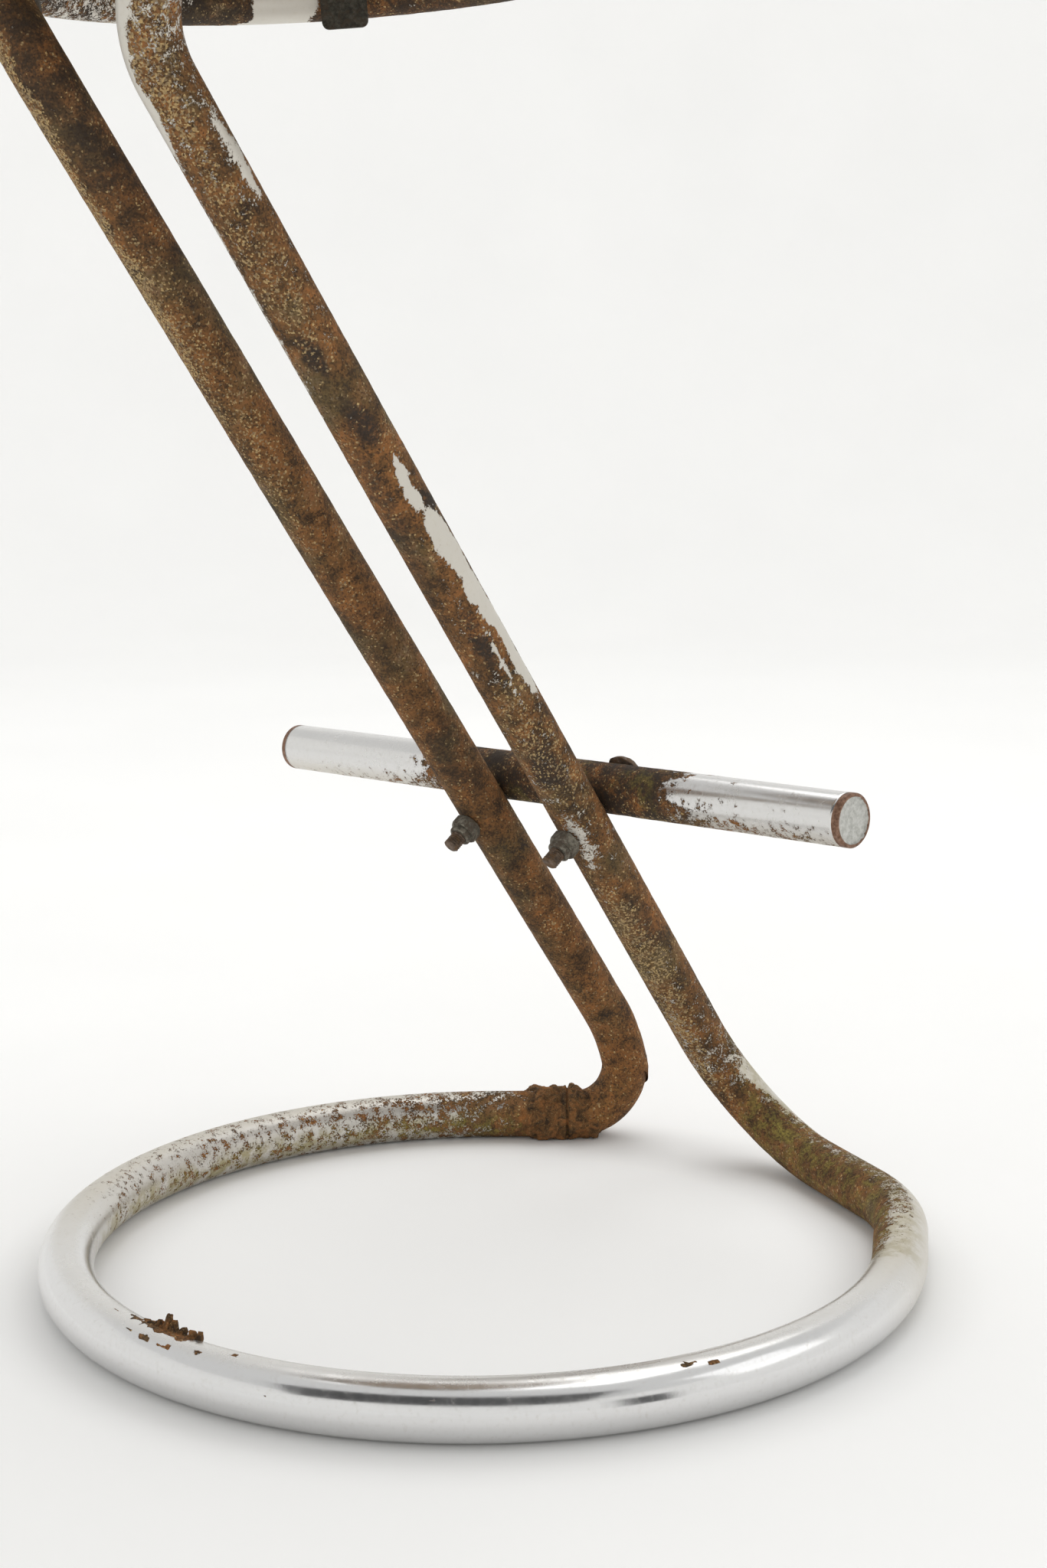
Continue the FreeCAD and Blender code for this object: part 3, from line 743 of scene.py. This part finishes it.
def frame_masks(at, out):
    """How rusty, dark, orange, flecked, mossy and hazy the frame is at each point."""
    x, y, z = at.T
    bearing = (np.degrees(np.arctan2(y, x)) + 90.0) % 360.0 - 90.0
    radial = np.stack([x, y], axis=1) / np.hypot(x, y)[:, None]
    outward = np.sum(out[:, :2] * radial, axis=1)
    round_ring = np.degrees(np.arctan2(out[:, 2], outward)) % 360.0
    round_strut = np.degrees(np.arctan2(out @ np.array(STRUT_UP), -out[:, 0]))
    right = x < STRUT_MID_X
    wander = layered(at, 60.0, 6, 5) - 0.5
    frayed = layered(at, 420.0, 3, 9) - 0.5

    on_ring = 1.0 - smooth(z, 0.028, 0.050)
    inner = np.clip(-outward, 0.0, 1.0)
    ring_rust = np.interp(bearing, *RING_RUST)
    far_side = 1.0 - smooth(np.abs(bearing + 5.0), 35.0, 70.0)
    back_right = smooth(bearing, 188.0, 212.0)
    ring_rust = ring_rust + 0.20 * back_right * smooth(inner, 0.1, 0.8) + 0.08 * far_side * inner
    pitted = np.zeros(len(x))
    for turn, around, half_turn, half_around, amount in PITS:
        away = (round_ring - around + 180.0) % 360.0 - 180.0
        reach = np.hypot((bearing - turn) / half_turn, away / half_around)
        reach = reach + 0.8 * wander + 1.2 * frayed
        pitted = np.maximum(pitted, amount * (1.0 - smooth(reach, 0.7, 1.1)))
    ring_rust = np.maximum(ring_rust, pitted)

    strut_rust = np.where(right, np.interp(z, *RIGHT_RUST), np.interp(z, *LEFT_RUST))
    spread = round_strut + 34.0 * wander + 22.0 * frayed
    lift = z + 0.022 * wander + 0.008 * frayed
    strut_rust = strut_rust - strut_patches(lift, spread, right, PLATED)
    outer_right = np.clip(-(out[:, 0] + out[:, 1]) * 0.707, 0.0, 1.0)
    foot_plate = np.where(right, 1.0 - smooth(z, 0.034, 0.070), 0.0)
    strut_rust = strut_rust - 0.45 * foot_plate * smooth(outer_right, 0.25, 0.60)

    rust = on_ring * (ring_rust - 0.25 * back_right * smooth(outer_right, 0.3, 0.7))
    rust = np.clip(rust + (1.0 - on_ring) * strut_rust, 0.0, 1.0)
    seat_turn = np.degrees(np.arctan2(y - SEAT_MIDDLE.y, x - SEAT_MIDDLE.x))
    from_ring = np.abs(np.hypot(x - SEAT_MIDDLE.x, y - SEAT_MIDDLE.y) - SEAT_RING_R)
    on_seat_ring = (z > 0.56) * (1.0 - smooth(from_ring, 0.013, 0.020))
    plated_arc = 1.0 - smooth(np.abs(seat_turn + 29.0) + 8.0 * wander, 4.5, 7.5)
    speckled_arc = smooth(seat_turn, -14.0, -4.0) * (1.0 - smooth(seat_turn, 20.0, 40.0))
    seat_rust = 0.74 - 0.65 * plated_arc - 0.20 * speckled_arc
    rust = rust + on_seat_ring * (seat_rust - rust)
    under_arc = far_side * on_ring * smooth(inner, 0.45, 0.85) * smooth(-out[:, 2], -0.55, 0.1)
    at_foot = right & ((bearing > 205.0) | (bearing < -75.0))
    foot_moss = np.where(at_foot, smooth(z, 0.012, 0.030) * (1.0 - smooth(z, 0.070, 0.110)), 0.0)
    foot_moss = foot_moss * smooth(out[:, 2], 0.0, 0.8) * 0.6
    inner_moss = on_ring * back_right * smooth(inner, 0.2, 0.8) * 0.55
    off = 1.0 - on_ring
    return {
        "rust": rust,
        "dark": np.clip(off * strut_patches(lift, spread, right, SOOTY)
                        + 0.7 * on_seat_ring, 0.0, 1.0),
        "orange": np.clip(off * strut_patches(lift, spread, right, RUSTY)
                          + on_ring * (1.0 - smooth(bearing, -66.0, -46.0)) * 0.7
                          + on_ring * (0.35 * far_side + 0.7 * pitted), 0.0, 1.0),
        "ochre": off * strut_patches(lift, spread, right, OCHRE_FLECKED),
        "moss": np.clip(0.9 * under_arc + foot_moss + inner_moss, 0.0, 1.0),
        "haze": np.clip(0.90 * off + on_ring * (0.18 + 0.50 * far_side + 0.60 * back_right
                        + 0.25 * smooth(out[:, 2], 0.80, 0.99)), 0.0, 1.0),
    }


def corroded(at, out, rust):
    """Rust stands a little proud and is rough; chrome stays smooth."""
    eaten = smooth(rust, 0.45, 0.75)
    fine = (layered(at, 260.0, 4, 11) - 0.5) * 0.00034
    relief = fine + (layered(at, 45.0, 2, 17) - 0.5) * 0.00020
    return at + out * (eaten * relief)[:, None]


AROUND = 56


def tube_piece(name, path, radius, replaced, masks_of):
    at, out = swept(path, radius, AROUND)
    masks = masks_of(at, out)
    at = corroded(at, out, masks["rust"])
    new_piece(name, at, tube_faces(len(path), AROUND), STEEL, replaced, masks)


tube_piece("base_ring_and_right_strut", lower_path(), TUBE_R,
           ["lower_frame_tube"], frame_masks)
tube_piece("seat_ring_and_left_strut", upper_path(), TUBE_R,
           ["upper_frame_tube"], frame_masks)


# ---- footrest -------------------------------------------------------------------------

BAR_RUST = ([-0.14, -0.12, -0.09, -0.06, -0.035, -0.012, 0.00, 0.10, 0.125, 0.15, 0.20, 0.28],
            [0.34, 0.38, 0.44, 0.46, 0.56, 0.80, 0.90, 0.90, 0.66, 0.46, 0.38, 0.30])


def bar_masks(at, out):
    """The same for the footrest: rusted between the struts, chrome towards its ends."""
    x = at[:, 0]
    wander = layered(at, 70.0, 3, 23) - 0.5
    down = -out[:, 2] * 0.8 - out[:, 1] * 0.2
    near = 1.0 - smooth(np.abs(x - 0.05), 0.065, 0.110)
    rust = np.interp(x + 0.05 * wander, *BAR_RUST) + 0.10 * down + 0.15 * wander
    return {
        "rust": np.clip(rust, 0.0, 1.0),
        "dark": near * 0.95,
        "orange": 0.15 * (1.0 - near),
        "ochre": 0.5 * near * smooth(down, -0.3, 0.6),
        "moss": 0.45 * near * smooth(wander, 0.0, 0.2),
        "haze": np.clip(0.30 + 0.55 * smooth(down, -0.1, 0.6), 0.0, 1.0),
    }


def footrest():
    low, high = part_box("footrest_tube")
    middle = (low + high) / 2
    count = round((high.x - low.x) / STEP)
    spots = np.linspace(low.x, high.x, count)
    path = np.stack([spots, np.full(count, middle.y), np.full(count, middle.z)], axis=1)
    tube_piece("footrest_bar", path, FOOTREST_R, ["footrest_tube"], bar_masks)


footrest()


# ---- bolts with real threads ----------------------------------------------------------

BOLT_SEAT = TUBE_R + 2 * FOOTREST_R + FOOTREST_GAP    # from strut's middle to head
THREAD_AROUND = 48


def bolt(side):
    """Domed head on the footrest, plain shank, and a helical thread at the tip."""
    foot = strut_point(side, FOOTREST_HEIGHT - (TUBE_R + FOOTREST_R + FOOTREST_GAP) * STRUT_UP.z)
    head = foot + STRUT_UP * BOLT_SEAT
    place = Matrix.Translation(head) @ (-STRUT_UP).to_track_quat("Z", "X").to_matrix().to_4x4()
    nut_face = BOLT_SEAT + TUBE_R + NUT_GAP
    length = nut_face + NUT_HEIGHT + BOLT_STUB
    dome_r = (BOLT_HEAD_R ** 2 + BOLT_HEAD_HEIGHT ** 2) / (2 * BOLT_HEAD_HEIGHT)
    rows = [(0.0002, -BOLT_HEAD_HEIGHT)]
    for i in range(1, 15):
        height = -BOLT_HEAD_HEIGHT * (1 - (i / 14) ** 1.6)
        radius = math.sqrt(max(0.0, dome_r ** 2 - (dome_r - BOLT_HEAD_HEIGHT - height) ** 2))
        rows.append((min(radius, BOLT_HEAD_R), height))
    rows += [(BOLT_R * 1.02, 0.0), (BOLT_R, nut_face)]
    turns = int((length - nut_face) / THREAD_PITCH * 10)
    for i in range(1, turns + 1):
        height = nut_face + (length - nut_face) * i / turns
        taper = min(1.0, (length - height) / (1.1 * THREAD_PITCH) + 0.72)
        radii = []
        for j in range(THREAD_AROUND):
            phase = (height / THREAD_PITCH - j / THREAD_AROUND) % 1.0
            crest = 1.0 - abs(2.0 * phase - 1.0)
            radii.append((BOLT_R - THREAD_DEPTH * min(1.0, 1.25 * crest)) * taper)
        rows.append((radii, height))
    rows.append((BOLT_R * 0.45, length + 0.0001))
    points = []
    for radii, height in rows:
        for j, radius in enumerate(np.broadcast_to(radii, THREAD_AROUND)):
            turn = 2 * math.pi * j / THREAD_AROUND
            points.append(place @ Vector((radius * math.cos(turn), radius * math.sin(turn), height)))
    points = np.array(points)
    centre = np.array(head - STRUT_UP * (length / 2))
    axis = np.array(STRUT_UP)
    offset = points - centre
    radial = offset - np.outer(offset @ axis, axis)
    radial /= np.maximum(np.linalg.norm(radial, axis=1), 1e-6)[:, None]
    lumps = layered(points, 420.0, 3, 31) - 0.5
    on_head = (points - np.array(head)) @ axis > -0.0002
    points = points + np.where(on_head, 0.0011, 0.00022)[:, None] * lumps[:, None] * np.where(
        on_head[:, None], axis[None, :] * 0.8 + radial * 0.6, radial)
    faces = tube_faces(len(rows), THREAD_AROUND)
    new_piece("threaded_bolt_" + side, points, faces, BOLT, ["footrest_bolt_" + side])


for side in SIDE:
    bolt(side)


# ---- rust crust at the foot's weld, and the weld under the seat ------------------------

CRUST_BACK = 0.020          # how far the crust reaches up the left foot from the joint
CRUST_AHEAD = 0.030         # and along the base ring
CRUST_THICK = 0.0042
CRUST_AROUND = 120
JOINT_SHARE = 2.0 * CRUST_BACK / (CRUST_BACK + CRUST_AHEAD) - 1.0


def crust_sleeve(path):
    """Lumpy shell round a tube; it sinks into the tube where its thickness runs out."""
    at, out = swept(path, TUBE_R, CRUST_AROUND)
    along = np.repeat(np.linspace(-1.0, 1.0, len(path)), CRUST_AROUND)
    lumps = layered(at, 95.0, 5, 41)
    shards = 1.0 - np.abs(2.0 * layered(at, 150.0, 4, 46) - 1.0)
    seam = np.exp(-((along - JOINT_SHARE) / 0.10) ** 2)
    crack = np.exp(-((along - JOINT_SHARE) / 0.03) ** 2)
    ends = smooth(np.abs(along) + 0.9 * (layered(at, 120.0, 4, 44) - 0.5), 0.55, 0.95)
    outer = smooth(out[:, 0] * 0.55 - out[:, 1] * 0.6 - out[:, 2] * 0.6, -0.2, 0.9)
    height = CRUST_THICK * (2.4 * (lumps - 0.42) + 0.9 * (shards - 0.6) + 0.7 * outer)
    height = height + 0.0030 * seam * (0.4 + outer) * (lumps + 0.2) - 0.0026 * crack
    height = height * (1.0 - ends) - 0.0016 * ends
    height = np.maximum(height, -0.0018)
    at = at + out * height[:, None]
    at[:, 2] = np.maximum(at[:, 2], 0.0003 + 0.0006 * lumps)
    faces = tube_faces(len(path), CRUST_AROUND)
    new_piece("foot_joint_crust", at, faces, CRUST, ["foot_joint_weld"])


def foot_crust():
    route = Route()
    route.corners([left_knee, left_foot, foot_joint], [LEFT_FOOT_R])
    before = route.path()
    route = Route()
    route.line(foot_joint, ring_end)
    route.ring(FLOOR_FRAME, BASE_RING_R, left_ring_angle, left_ring_angle + 0.3)
    after = route.path()
    back = before[-round(CRUST_BACK / STEP):]
    ahead = after[1:round(CRUST_AHEAD / STEP)]
    fine = np.concatenate([back, ahead])
    index = np.arange(len(fine))
    dense = np.linspace(0, len(fine) - 1, len(fine) * 3)
    path = np.stack([np.interp(dense, index, fine[:, k]) for k in range(3)], axis=1)
    crust_sleeve(path)


foot_crust()


BEAD_R = 0.0022


def rippled_bead():
    """Weld bead with the overlapping ripples of a hand-run pass, open where the board rests."""
    centre = ring_point(SEAT_FRAME, SEAT_RING_R, seat_joint_angle)
    heading = SEAT_UP.cross(centre - SEAT_MIDDLE).normalized()
    clear = math.acos(TUBE_R / (TUBE_R + BEAD_R)) + math.radians(2.0)
    count, around = 160, 14
    points = []
    for i in range(count):
        turn = clear + (2 * math.pi - 2 * clear) * i / (count - 1)
        radial = Matrix.Rotation(turn, 3, heading) @ SEAT_UP
        ripple = 0.82 + 0.18 * abs(math.sin(turn * 17.0))
        size = BEAD_R * ripple * min(1.0, 0.35 + 0.12 * min(i, count - 1 - i))
        for j in range(around):
            angle = 2 * math.pi * j / around
            lift = math.cos(angle) * (1.0 if math.cos(angle) > 0 else 0.35)
            across = heading * (size * math.sin(angle))
            points.append(centre + radial * (TUBE_R + size * lift) + across)
    faces = tube_faces(count, around)
    new_piece("seat_joint_bead", points, faces, CRUST, ["seat_joint_weld"])


rippled_bead()


# ---- rust flakes lifting off the base ring --------------------------------------------

FLAKE_FROM, FLAKE_TO = math.radians(88.0), math.radians(99.8)
FLAKE_SEAT = math.radians(112.0)            # round the tube, from its outer side
# share of the length, half width and height of each peak
FLAKE_PEAKS = [(0.14, 0.12, 0.0012), (0.32, 0.08, 0.0038), (0.44, 0.07, 0.0056),
               (0.54, 0.06, 0.0048), (0.66, 0.06, 0.0028), (0.84, 0.04, 0.0044), (0.93, 0.03, 0.0036)]


def flakes():
    """Ragged plate of rust standing on the ring's inner shoulder, closed on both faces."""
    columns, rows = 96, 12
    share = np.linspace(0.0, 1.0, columns)
    height = np.full(columns, 0.0012)
    for middle, width, peak in FLAKE_PEAKS:
        height = np.maximum(height, peak * (1.0 - smooth(np.abs(share - middle) / width, 0.35, 1.25)))
    jag = layered(np.stack([share * 0.04, share * 0, share * 0], axis=1), 900.0, 3, 51)
    height = height * (0.20 + 1.6 * jag)
    points = []
    up = Vector((0, 0, 1))
    for i in range(columns):
        angle = FLAKE_FROM + (FLAKE_TO - FLAKE_FROM) * share[i]
        outward = Vector((math.cos(angle), math.sin(angle), 0))
        root = outward * BASE_RING_R + up * TUBE_R
        towards = outward * math.cos(FLAKE_SEAT) + up * math.sin(FLAKE_SEAT)
        seat = root + towards * (TUBE_R - 0.0008)
        rise = (up * 0.93 - outward * 0.36).normalized()
        thick = (outward * 0.93 + up * 0.36).normalized()
        ends = min(1.0, 12.0 * min(share[i], 1.0 - share[i]) + 0.15)
        for face in (1.0, -1.0):
            for j in range(rows):
                part = j / (rows - 1) if face > 0 else 1.0 - j / (rows - 1)
                body = 0.0022 * ends * (1.0 - 0.70 * part) + 0.0003
                points.append(seat + rise * (height[i] * part * ends) + thick * (face * body))
    at = np.array([tuple(point) for point in points])
    bulge = layered(at, 330.0, 4, 61)[:, None] - 0.5
    shift = layered(at, 240.0, 3, 67)[:, None] - 0.5
    at = at + np.concatenate([shift, bulge, bulge * 0.5], axis=1) * 0.0030
    new_piece("ring_rust_flakes", at, tube_faces(columns, 2 * rows), CRUST, flat=True)


flakes()


# ---- seat -----------------------------------------------------------------------------

VINYL = vinyl("seat_vinyl", (0.012, 0.011, 0.011), (0.026, 0.024, 0.023))
PIPING = vinyl("piping_vinyl", (0.014, 0.012, 0.011), (0.030, 0.027, 0.025))
SEAM = FOAM_HIGH - FOAM_EDGE_R
PAD_SHRINK = 0.0025         # the pad starts this much small, and swells
REMESH = 0.0045
SIM_FRAMES = 20
SWELL_FORCE = 4.0
SWELL_LIMIT = 0.006
PAD_AROUND = 96
RIM_SPOTS = 60
STAPLES = 36


def pad_outline():
    """Half section of the pad, axis to axis, with a recess for the board below."""
    side = FOAM_R + COVER - PAD_SHRINK
    high = FOAM_HIGH + COVER - PAD_SHRINK
    edge = FOAM_EDGE_R
    outline = [(0.0, BOARD_HIGH), (BOARD_R + 0.0006, BOARD_HIGH), (BOARD_R + 0.0006, BOARD_LOW),
               (FOAM_R + COVER * 0.5, BOARD_LOW), (side, BOARD_LOW + 0.006)]
    outline += [(side, BOARD_LOW + 0.006 + (high - edge - BOARD_LOW - 0.006) * i / 6) for i in range(1, 7)]
    for i in range(1, 9):
        turn = math.pi / 2 * i / 8
        outline.append((side - edge + edge * math.cos(turn), high - edge + edge * math.sin(turn)))
    flat = side - edge
    for i in range(1, 13):
        outline.append((flat * (1 - i / 12), high + FOAM_CROWN * math.sin(math.pi / 2 * i / 12)))
    return outline


def vertices_of(piece):
    return np.array([tuple(vertex.co) for vertex in piece.data.vertices])


def cushion():
    """Vinyl-covered pad, swollen by cloth simulation against its seam."""
    outline = pad_outline()
    points = turned(outline[1:-1], PAD_AROUND)
    faces = grid_faces(len(outline) - 2, PAD_AROUND)
    low, high = len(points), len(points) + 1
    last = low - PAD_AROUND
    points += [(0, 0, outline[0][1]), (0, 0, outline[-1][1])]
    for j in range(PAD_AROUND):
        k = (j + 1) % PAD_AROUND
        faces += [(low, k, j), (high, last + j, last + k)]
    pad = new_piece("seat_cushion", points, faces, VINYL, ["seat_foam", "seat_cover"])
    bpy.context.view_layer.objects.active = pad
    remesh = pad.modifiers.new("remesh", "REMESH")
    remesh.mode = "VOXEL"
    remesh.voxel_size = REMESH
    bpy.ops.object.modifier_apply(modifier=remesh.name)
    start = vertices_of(pad)
    reach = np.hypot(start[:, 0], start[:, 1])
    free = smooth(start[:, 2], BOARD_HIGH - 0.004, BOARD_HIGH + 0.006)
    free = free * smooth(reach + start[:, 2], 0.0, 0.02)
    free = np.where((start[:, 2] < BOARD_HIGH + 0.002) & (reach < BOARD_R + 0.002), 0.0, free)
    group = pad.vertex_groups.new(name="held")
    for vertex, share in enumerate(free):
        group.add([vertex], float(1.0 - share), "REPLACE")
    cloth = pad.modifiers.new("cloth", "CLOTH")
    cloth.settings.vertex_group_mass = "held"
    cloth.settings.use_pressure = True
    cloth.settings.uniform_pressure_force = SWELL_FORCE
    cloth.settings.effector_weights.gravity = 0.0
    for frame_number in range(1, SIM_FRAMES + 1):
        bpy.context.scene.frame_set(frame_number)
    bpy.ops.object.modifier_apply(modifier=cloth.name)
    bpy.context.scene.frame_set(1)
    pad.vertex_groups.clear()
    end = vertices_of(pad)
    move = end - start
    length = np.maximum(np.linalg.norm(move, axis=1), 1e-9)
    end = start + move * np.minimum(1.0, SWELL_LIMIT / length)[:, None]
    # the seam under the piping holds the cover in, with small puckers beside it
    turn = np.arctan2(end[:, 1], end[:, 0])
    level = np.exp(-((end[:, 2] - SEAM) / 0.0045) ** 2) * smooth(reach, BOARD_R - 0.006, BOARD_R + 0.002)
    beside = np.exp(-((end[:, 2] - SEAM) / 0.012) ** 2) * smooth(reach, BOARD_R - 0.012, BOARD_R)
    pucker = layered(np.stack([np.cos(turn), np.sin(turn), turn * 0], axis=1), 24.0, 3, 71) - 0.5
    radius = np.hypot(end[:, 0], end[:, 1])
    inwards = -np.maximum(radius - FOAM_R - COVER, 0.0) * level + beside * pucker * 0.0018
    end[:, :2] *= (1.0 + inwards / np.maximum(radius, 1e-6))[:, None]
    sag = layered(end, 11.0, 3, 77) - 0.5
    end[:, 2] += np.where(end[:, 2] > FOAM_HIGH - 0.012, sag * 0.0016, 0.0)
    rim = rim_of(end, SEAM)
    matrix = np.array(SEAT_FRAME)
    end = end @ matrix[:3, :3].T + matrix[:3, 3]
    pad.data.vertices.foreach_set("co", end.astype(np.float32).ravel())
    pad.data.update()
    pad.data.shade_smooth()
    finer = pad.modifiers.new("finer", "SUBSURF")
    finer.levels = finer.render_levels = 1
    bpy.ops.object.modifier_apply(modifier=finer.name)
    return rim


def rim_of(points, height):
    """The pad's reach from its middle, all round, at one height."""
    turn = np.arctan2(points[:, 1], points[:, 0])
    reach = np.hypot(points[:, 0], points[:, 1])
    spots = np.linspace(-math.pi, math.pi, RIM_SPOTS, endpoint=False)
    found = np.zeros(RIM_SPOTS)
    for i, spot in enumerate(spots):
        away = np.abs((turn - spot + math.pi) % (2 * math.pi) - math.pi)
        close = (away < 2 * math.pi / RIM_SPOTS) & (np.abs(points[:, 2] - height) < REMESH)
        found[i] = reach[close].max()
    return spots, found


pad_rim = cushion()


def piping():
    """Corded welt that follows the swollen pad round its seam."""
    count, around = 520, 20
    turns = np.linspace(0, 2 * math.pi, count, endpoint=False)
    reach = np.interp(turns, *pad_rim, period=2 * math.pi) + PIPING_R * 0.7
    path = np.array([tuple(SEAT_FRAME @ Vector((r * math.cos(t), r * math.sin(t), SEAM)))
                     for t, r in zip(turns, reach)])
    wave = layered(path, 40.0, 2, 81) - 0.5
    path[:, 2] += wave * 0.0006
    ribs = 1.0 + 0.035 * np.sin(np.arange(count) * 2 * math.pi * 4 / 26)
    at, _ = swept(path, PIPING_R * ribs, around, closed=True)
    faces = grid_faces(count, around, closed_rows=True)
    new_piece("seat_welt", at, faces, PIPING, ["seat_piping"])


piping()


def hem():
    """Cover's edge pleated and stapled under the board."""
    count = 360
    rows = [(FOAM_R + COVER, 0.0012), (FOAM_R, -0.0006), (BOARD_R - HEM * 0.45, -COVER),
            (BOARD_R - HEM, -COVER * 0.8), (BOARD_R - HEM - 0.0006, -0.0003),
            (BOARD_R - HEM * 0.5, -0.0001), (BOARD_R + 0.0006, -0.0001), (FOAM_R - 0.0004, 0.0010)]
    points = []
    for i in range(count):
        turn = 2 * math.pi * i / count
        pleat = abs(math.sin(turn * 30.0)) ** 3
        for n, (radius, height) in enumerate(rows):
            z = BOARD_LOW + height - (0.0007 * pleat if 1 <= n <= 3 else 0.0)
            if n in (3, 4):
                radius += 0.0012 * math.sin(turn * 47.0 + 1.3 * math.sin(turn * 9.0))
            points.append(SEAT_FRAME @ Vector((radius * math.cos(turn), radius * math.sin(turn), z)))
    new_piece("seat_hem", points, grid_faces(count, len(rows), closed_rows=True), VINYL)


hem()


def staples():
    """Wire staples through the hem: a crown with two bent legs, each a small round bar."""
    points, faces = [], []
    wire, half, leg = 0.00045, 0.0045, 0.0016
    corners = [(-half, leg), (-half, 0.0), (-half + 0.0006, -0.0002),
               (half - 0.0006, -0.0002), (half, 0.0), (half, leg)]
    for number in range(STAPLES):
        turn = 2 * math.pi * (number + 0.5) / STAPLES + 0.02 * math.sin(number * 2.3)
        place = (SEAT_FRAME @ Matrix.Rotation(turn, 4, "Z")
                 @ Matrix.Translation((BOARD_R - HEM * 0.55, 0, BOARD_LOW - COVER - 0.0006))
                 @ Matrix.Rotation(0.25 * math.sin(number * 1.7), 4, "Z"))
        start = len(points)
        for along, deep in corners:
            for j in range(6):
                angle = math.pi / 3 * j
                spot = (wire * math.cos(angle), along, deep + wire * math.sin(angle))
                points.append(place @ Vector(spot))
        faces += [tuple(start + k for k in face) for face in tube_faces(len(corners), 6)]
    new_piece("seat_staples", points, faces, SCREW)


staples()


# ---- finishes of the CAD nodes that stay ----------------------------------------------

def finish(node, material):
    nodes[node].data.materials.clear()
    nodes[node].data.materials.append(material)


finish("foot_joint_sleeve", BARE)
finish("seat_joint_sleeve", BARE)
finish("seat_board", plywood("seat_plywood"))
finish("seat_screws", SCREW)
finish("lock_nut_inserts", nylon("nylon"))
for end in SIDE:
    finish("footrest_cap_" + end, cap_metal("cap_" + end, "footrest_cap_" + end))
    finish("lock_nut_" + end, NUT)
for number in range(1, 5):
    finish("seat_lug_%d" % number, LUG)


# ---- floor ----------------------------------------------------------------------------

SWEEP_FLAT = 3.4            # radius of the level floor
SWEEP_BEND = 1.5
SWEEP_TOP = 3.4
SWEEP_AROUND = 96


def studio_sweep():
    """Paper floor that curves up into a wall all round, far from the stool."""
    outline = [(0.02, 0.0), (0.6, 0.0), (1.5, 0.0), (SWEEP_FLAT, 0.0)]
    for i in range(1, 17):
        turn = math.pi / 2 * i / 16
        outline.append((SWEEP_FLAT + SWEEP_BEND * math.sin(turn), SWEEP_BEND * (1.0 - math.cos(turn))))
    outline.append((SWEEP_FLAT + SWEEP_BEND, SWEEP_TOP))
    faces = grid_faces(len(outline), SWEEP_AROUND)
    faces.append(tuple(range(SWEEP_AROUND))[::-1])
    mesh = bpy.data.meshes.new("studio_sweep")
    mesh.from_pydata(turned(outline, SWEEP_AROUND), [], faces)
    mesh.update()
    mesh.shade_smooth()
    mesh.materials.append(studio_paper("studio_paper"))
    sweep = bpy.data.objects.new("studio_sweep", mesh)
    bpy.context.scene.collection.objects.link(sweep)


def dark_flag(name, place, width, height):
    """Black card that the chrome reflects; the camera doesn't see it."""
    mesh = bpy.data.meshes.new(name)
    form = bmesh.new()
    bmesh.ops.create_grid(form, x_segments=1, y_segments=1, size=0.5)
    bmesh.ops.scale(form, vec=(width, height, 1.0), verts=form.verts)
    form.to_mesh(mesh)
    form.free()
    s = Surface(name)
    s.set("Base Color", (0.02, 0.02, 0.022))
    s.set("Roughness", 0.9)
    mesh.materials.append(s.material)
    card = bpy.data.objects.new(name, mesh)
    card.location = place
    aim = Vector((0.0, 0.0, 0.1)) - Vector(place)
    card.rotation_euler = aim.to_track_quat("Z", "Y").to_euler()
    card.visible_camera = False
    card.visible_shadow = False
    card.visible_diffuse = False
    bpy.context.scene.collection.objects.link(card)


studio_sweep()
dark_flag("flag_over_camera", (-0.98, 1.45, 1.97), 3.2, 1.4)
dark_flag("flag_low", (-2.4, 0.3, 0.45), 0.5, 0.9)
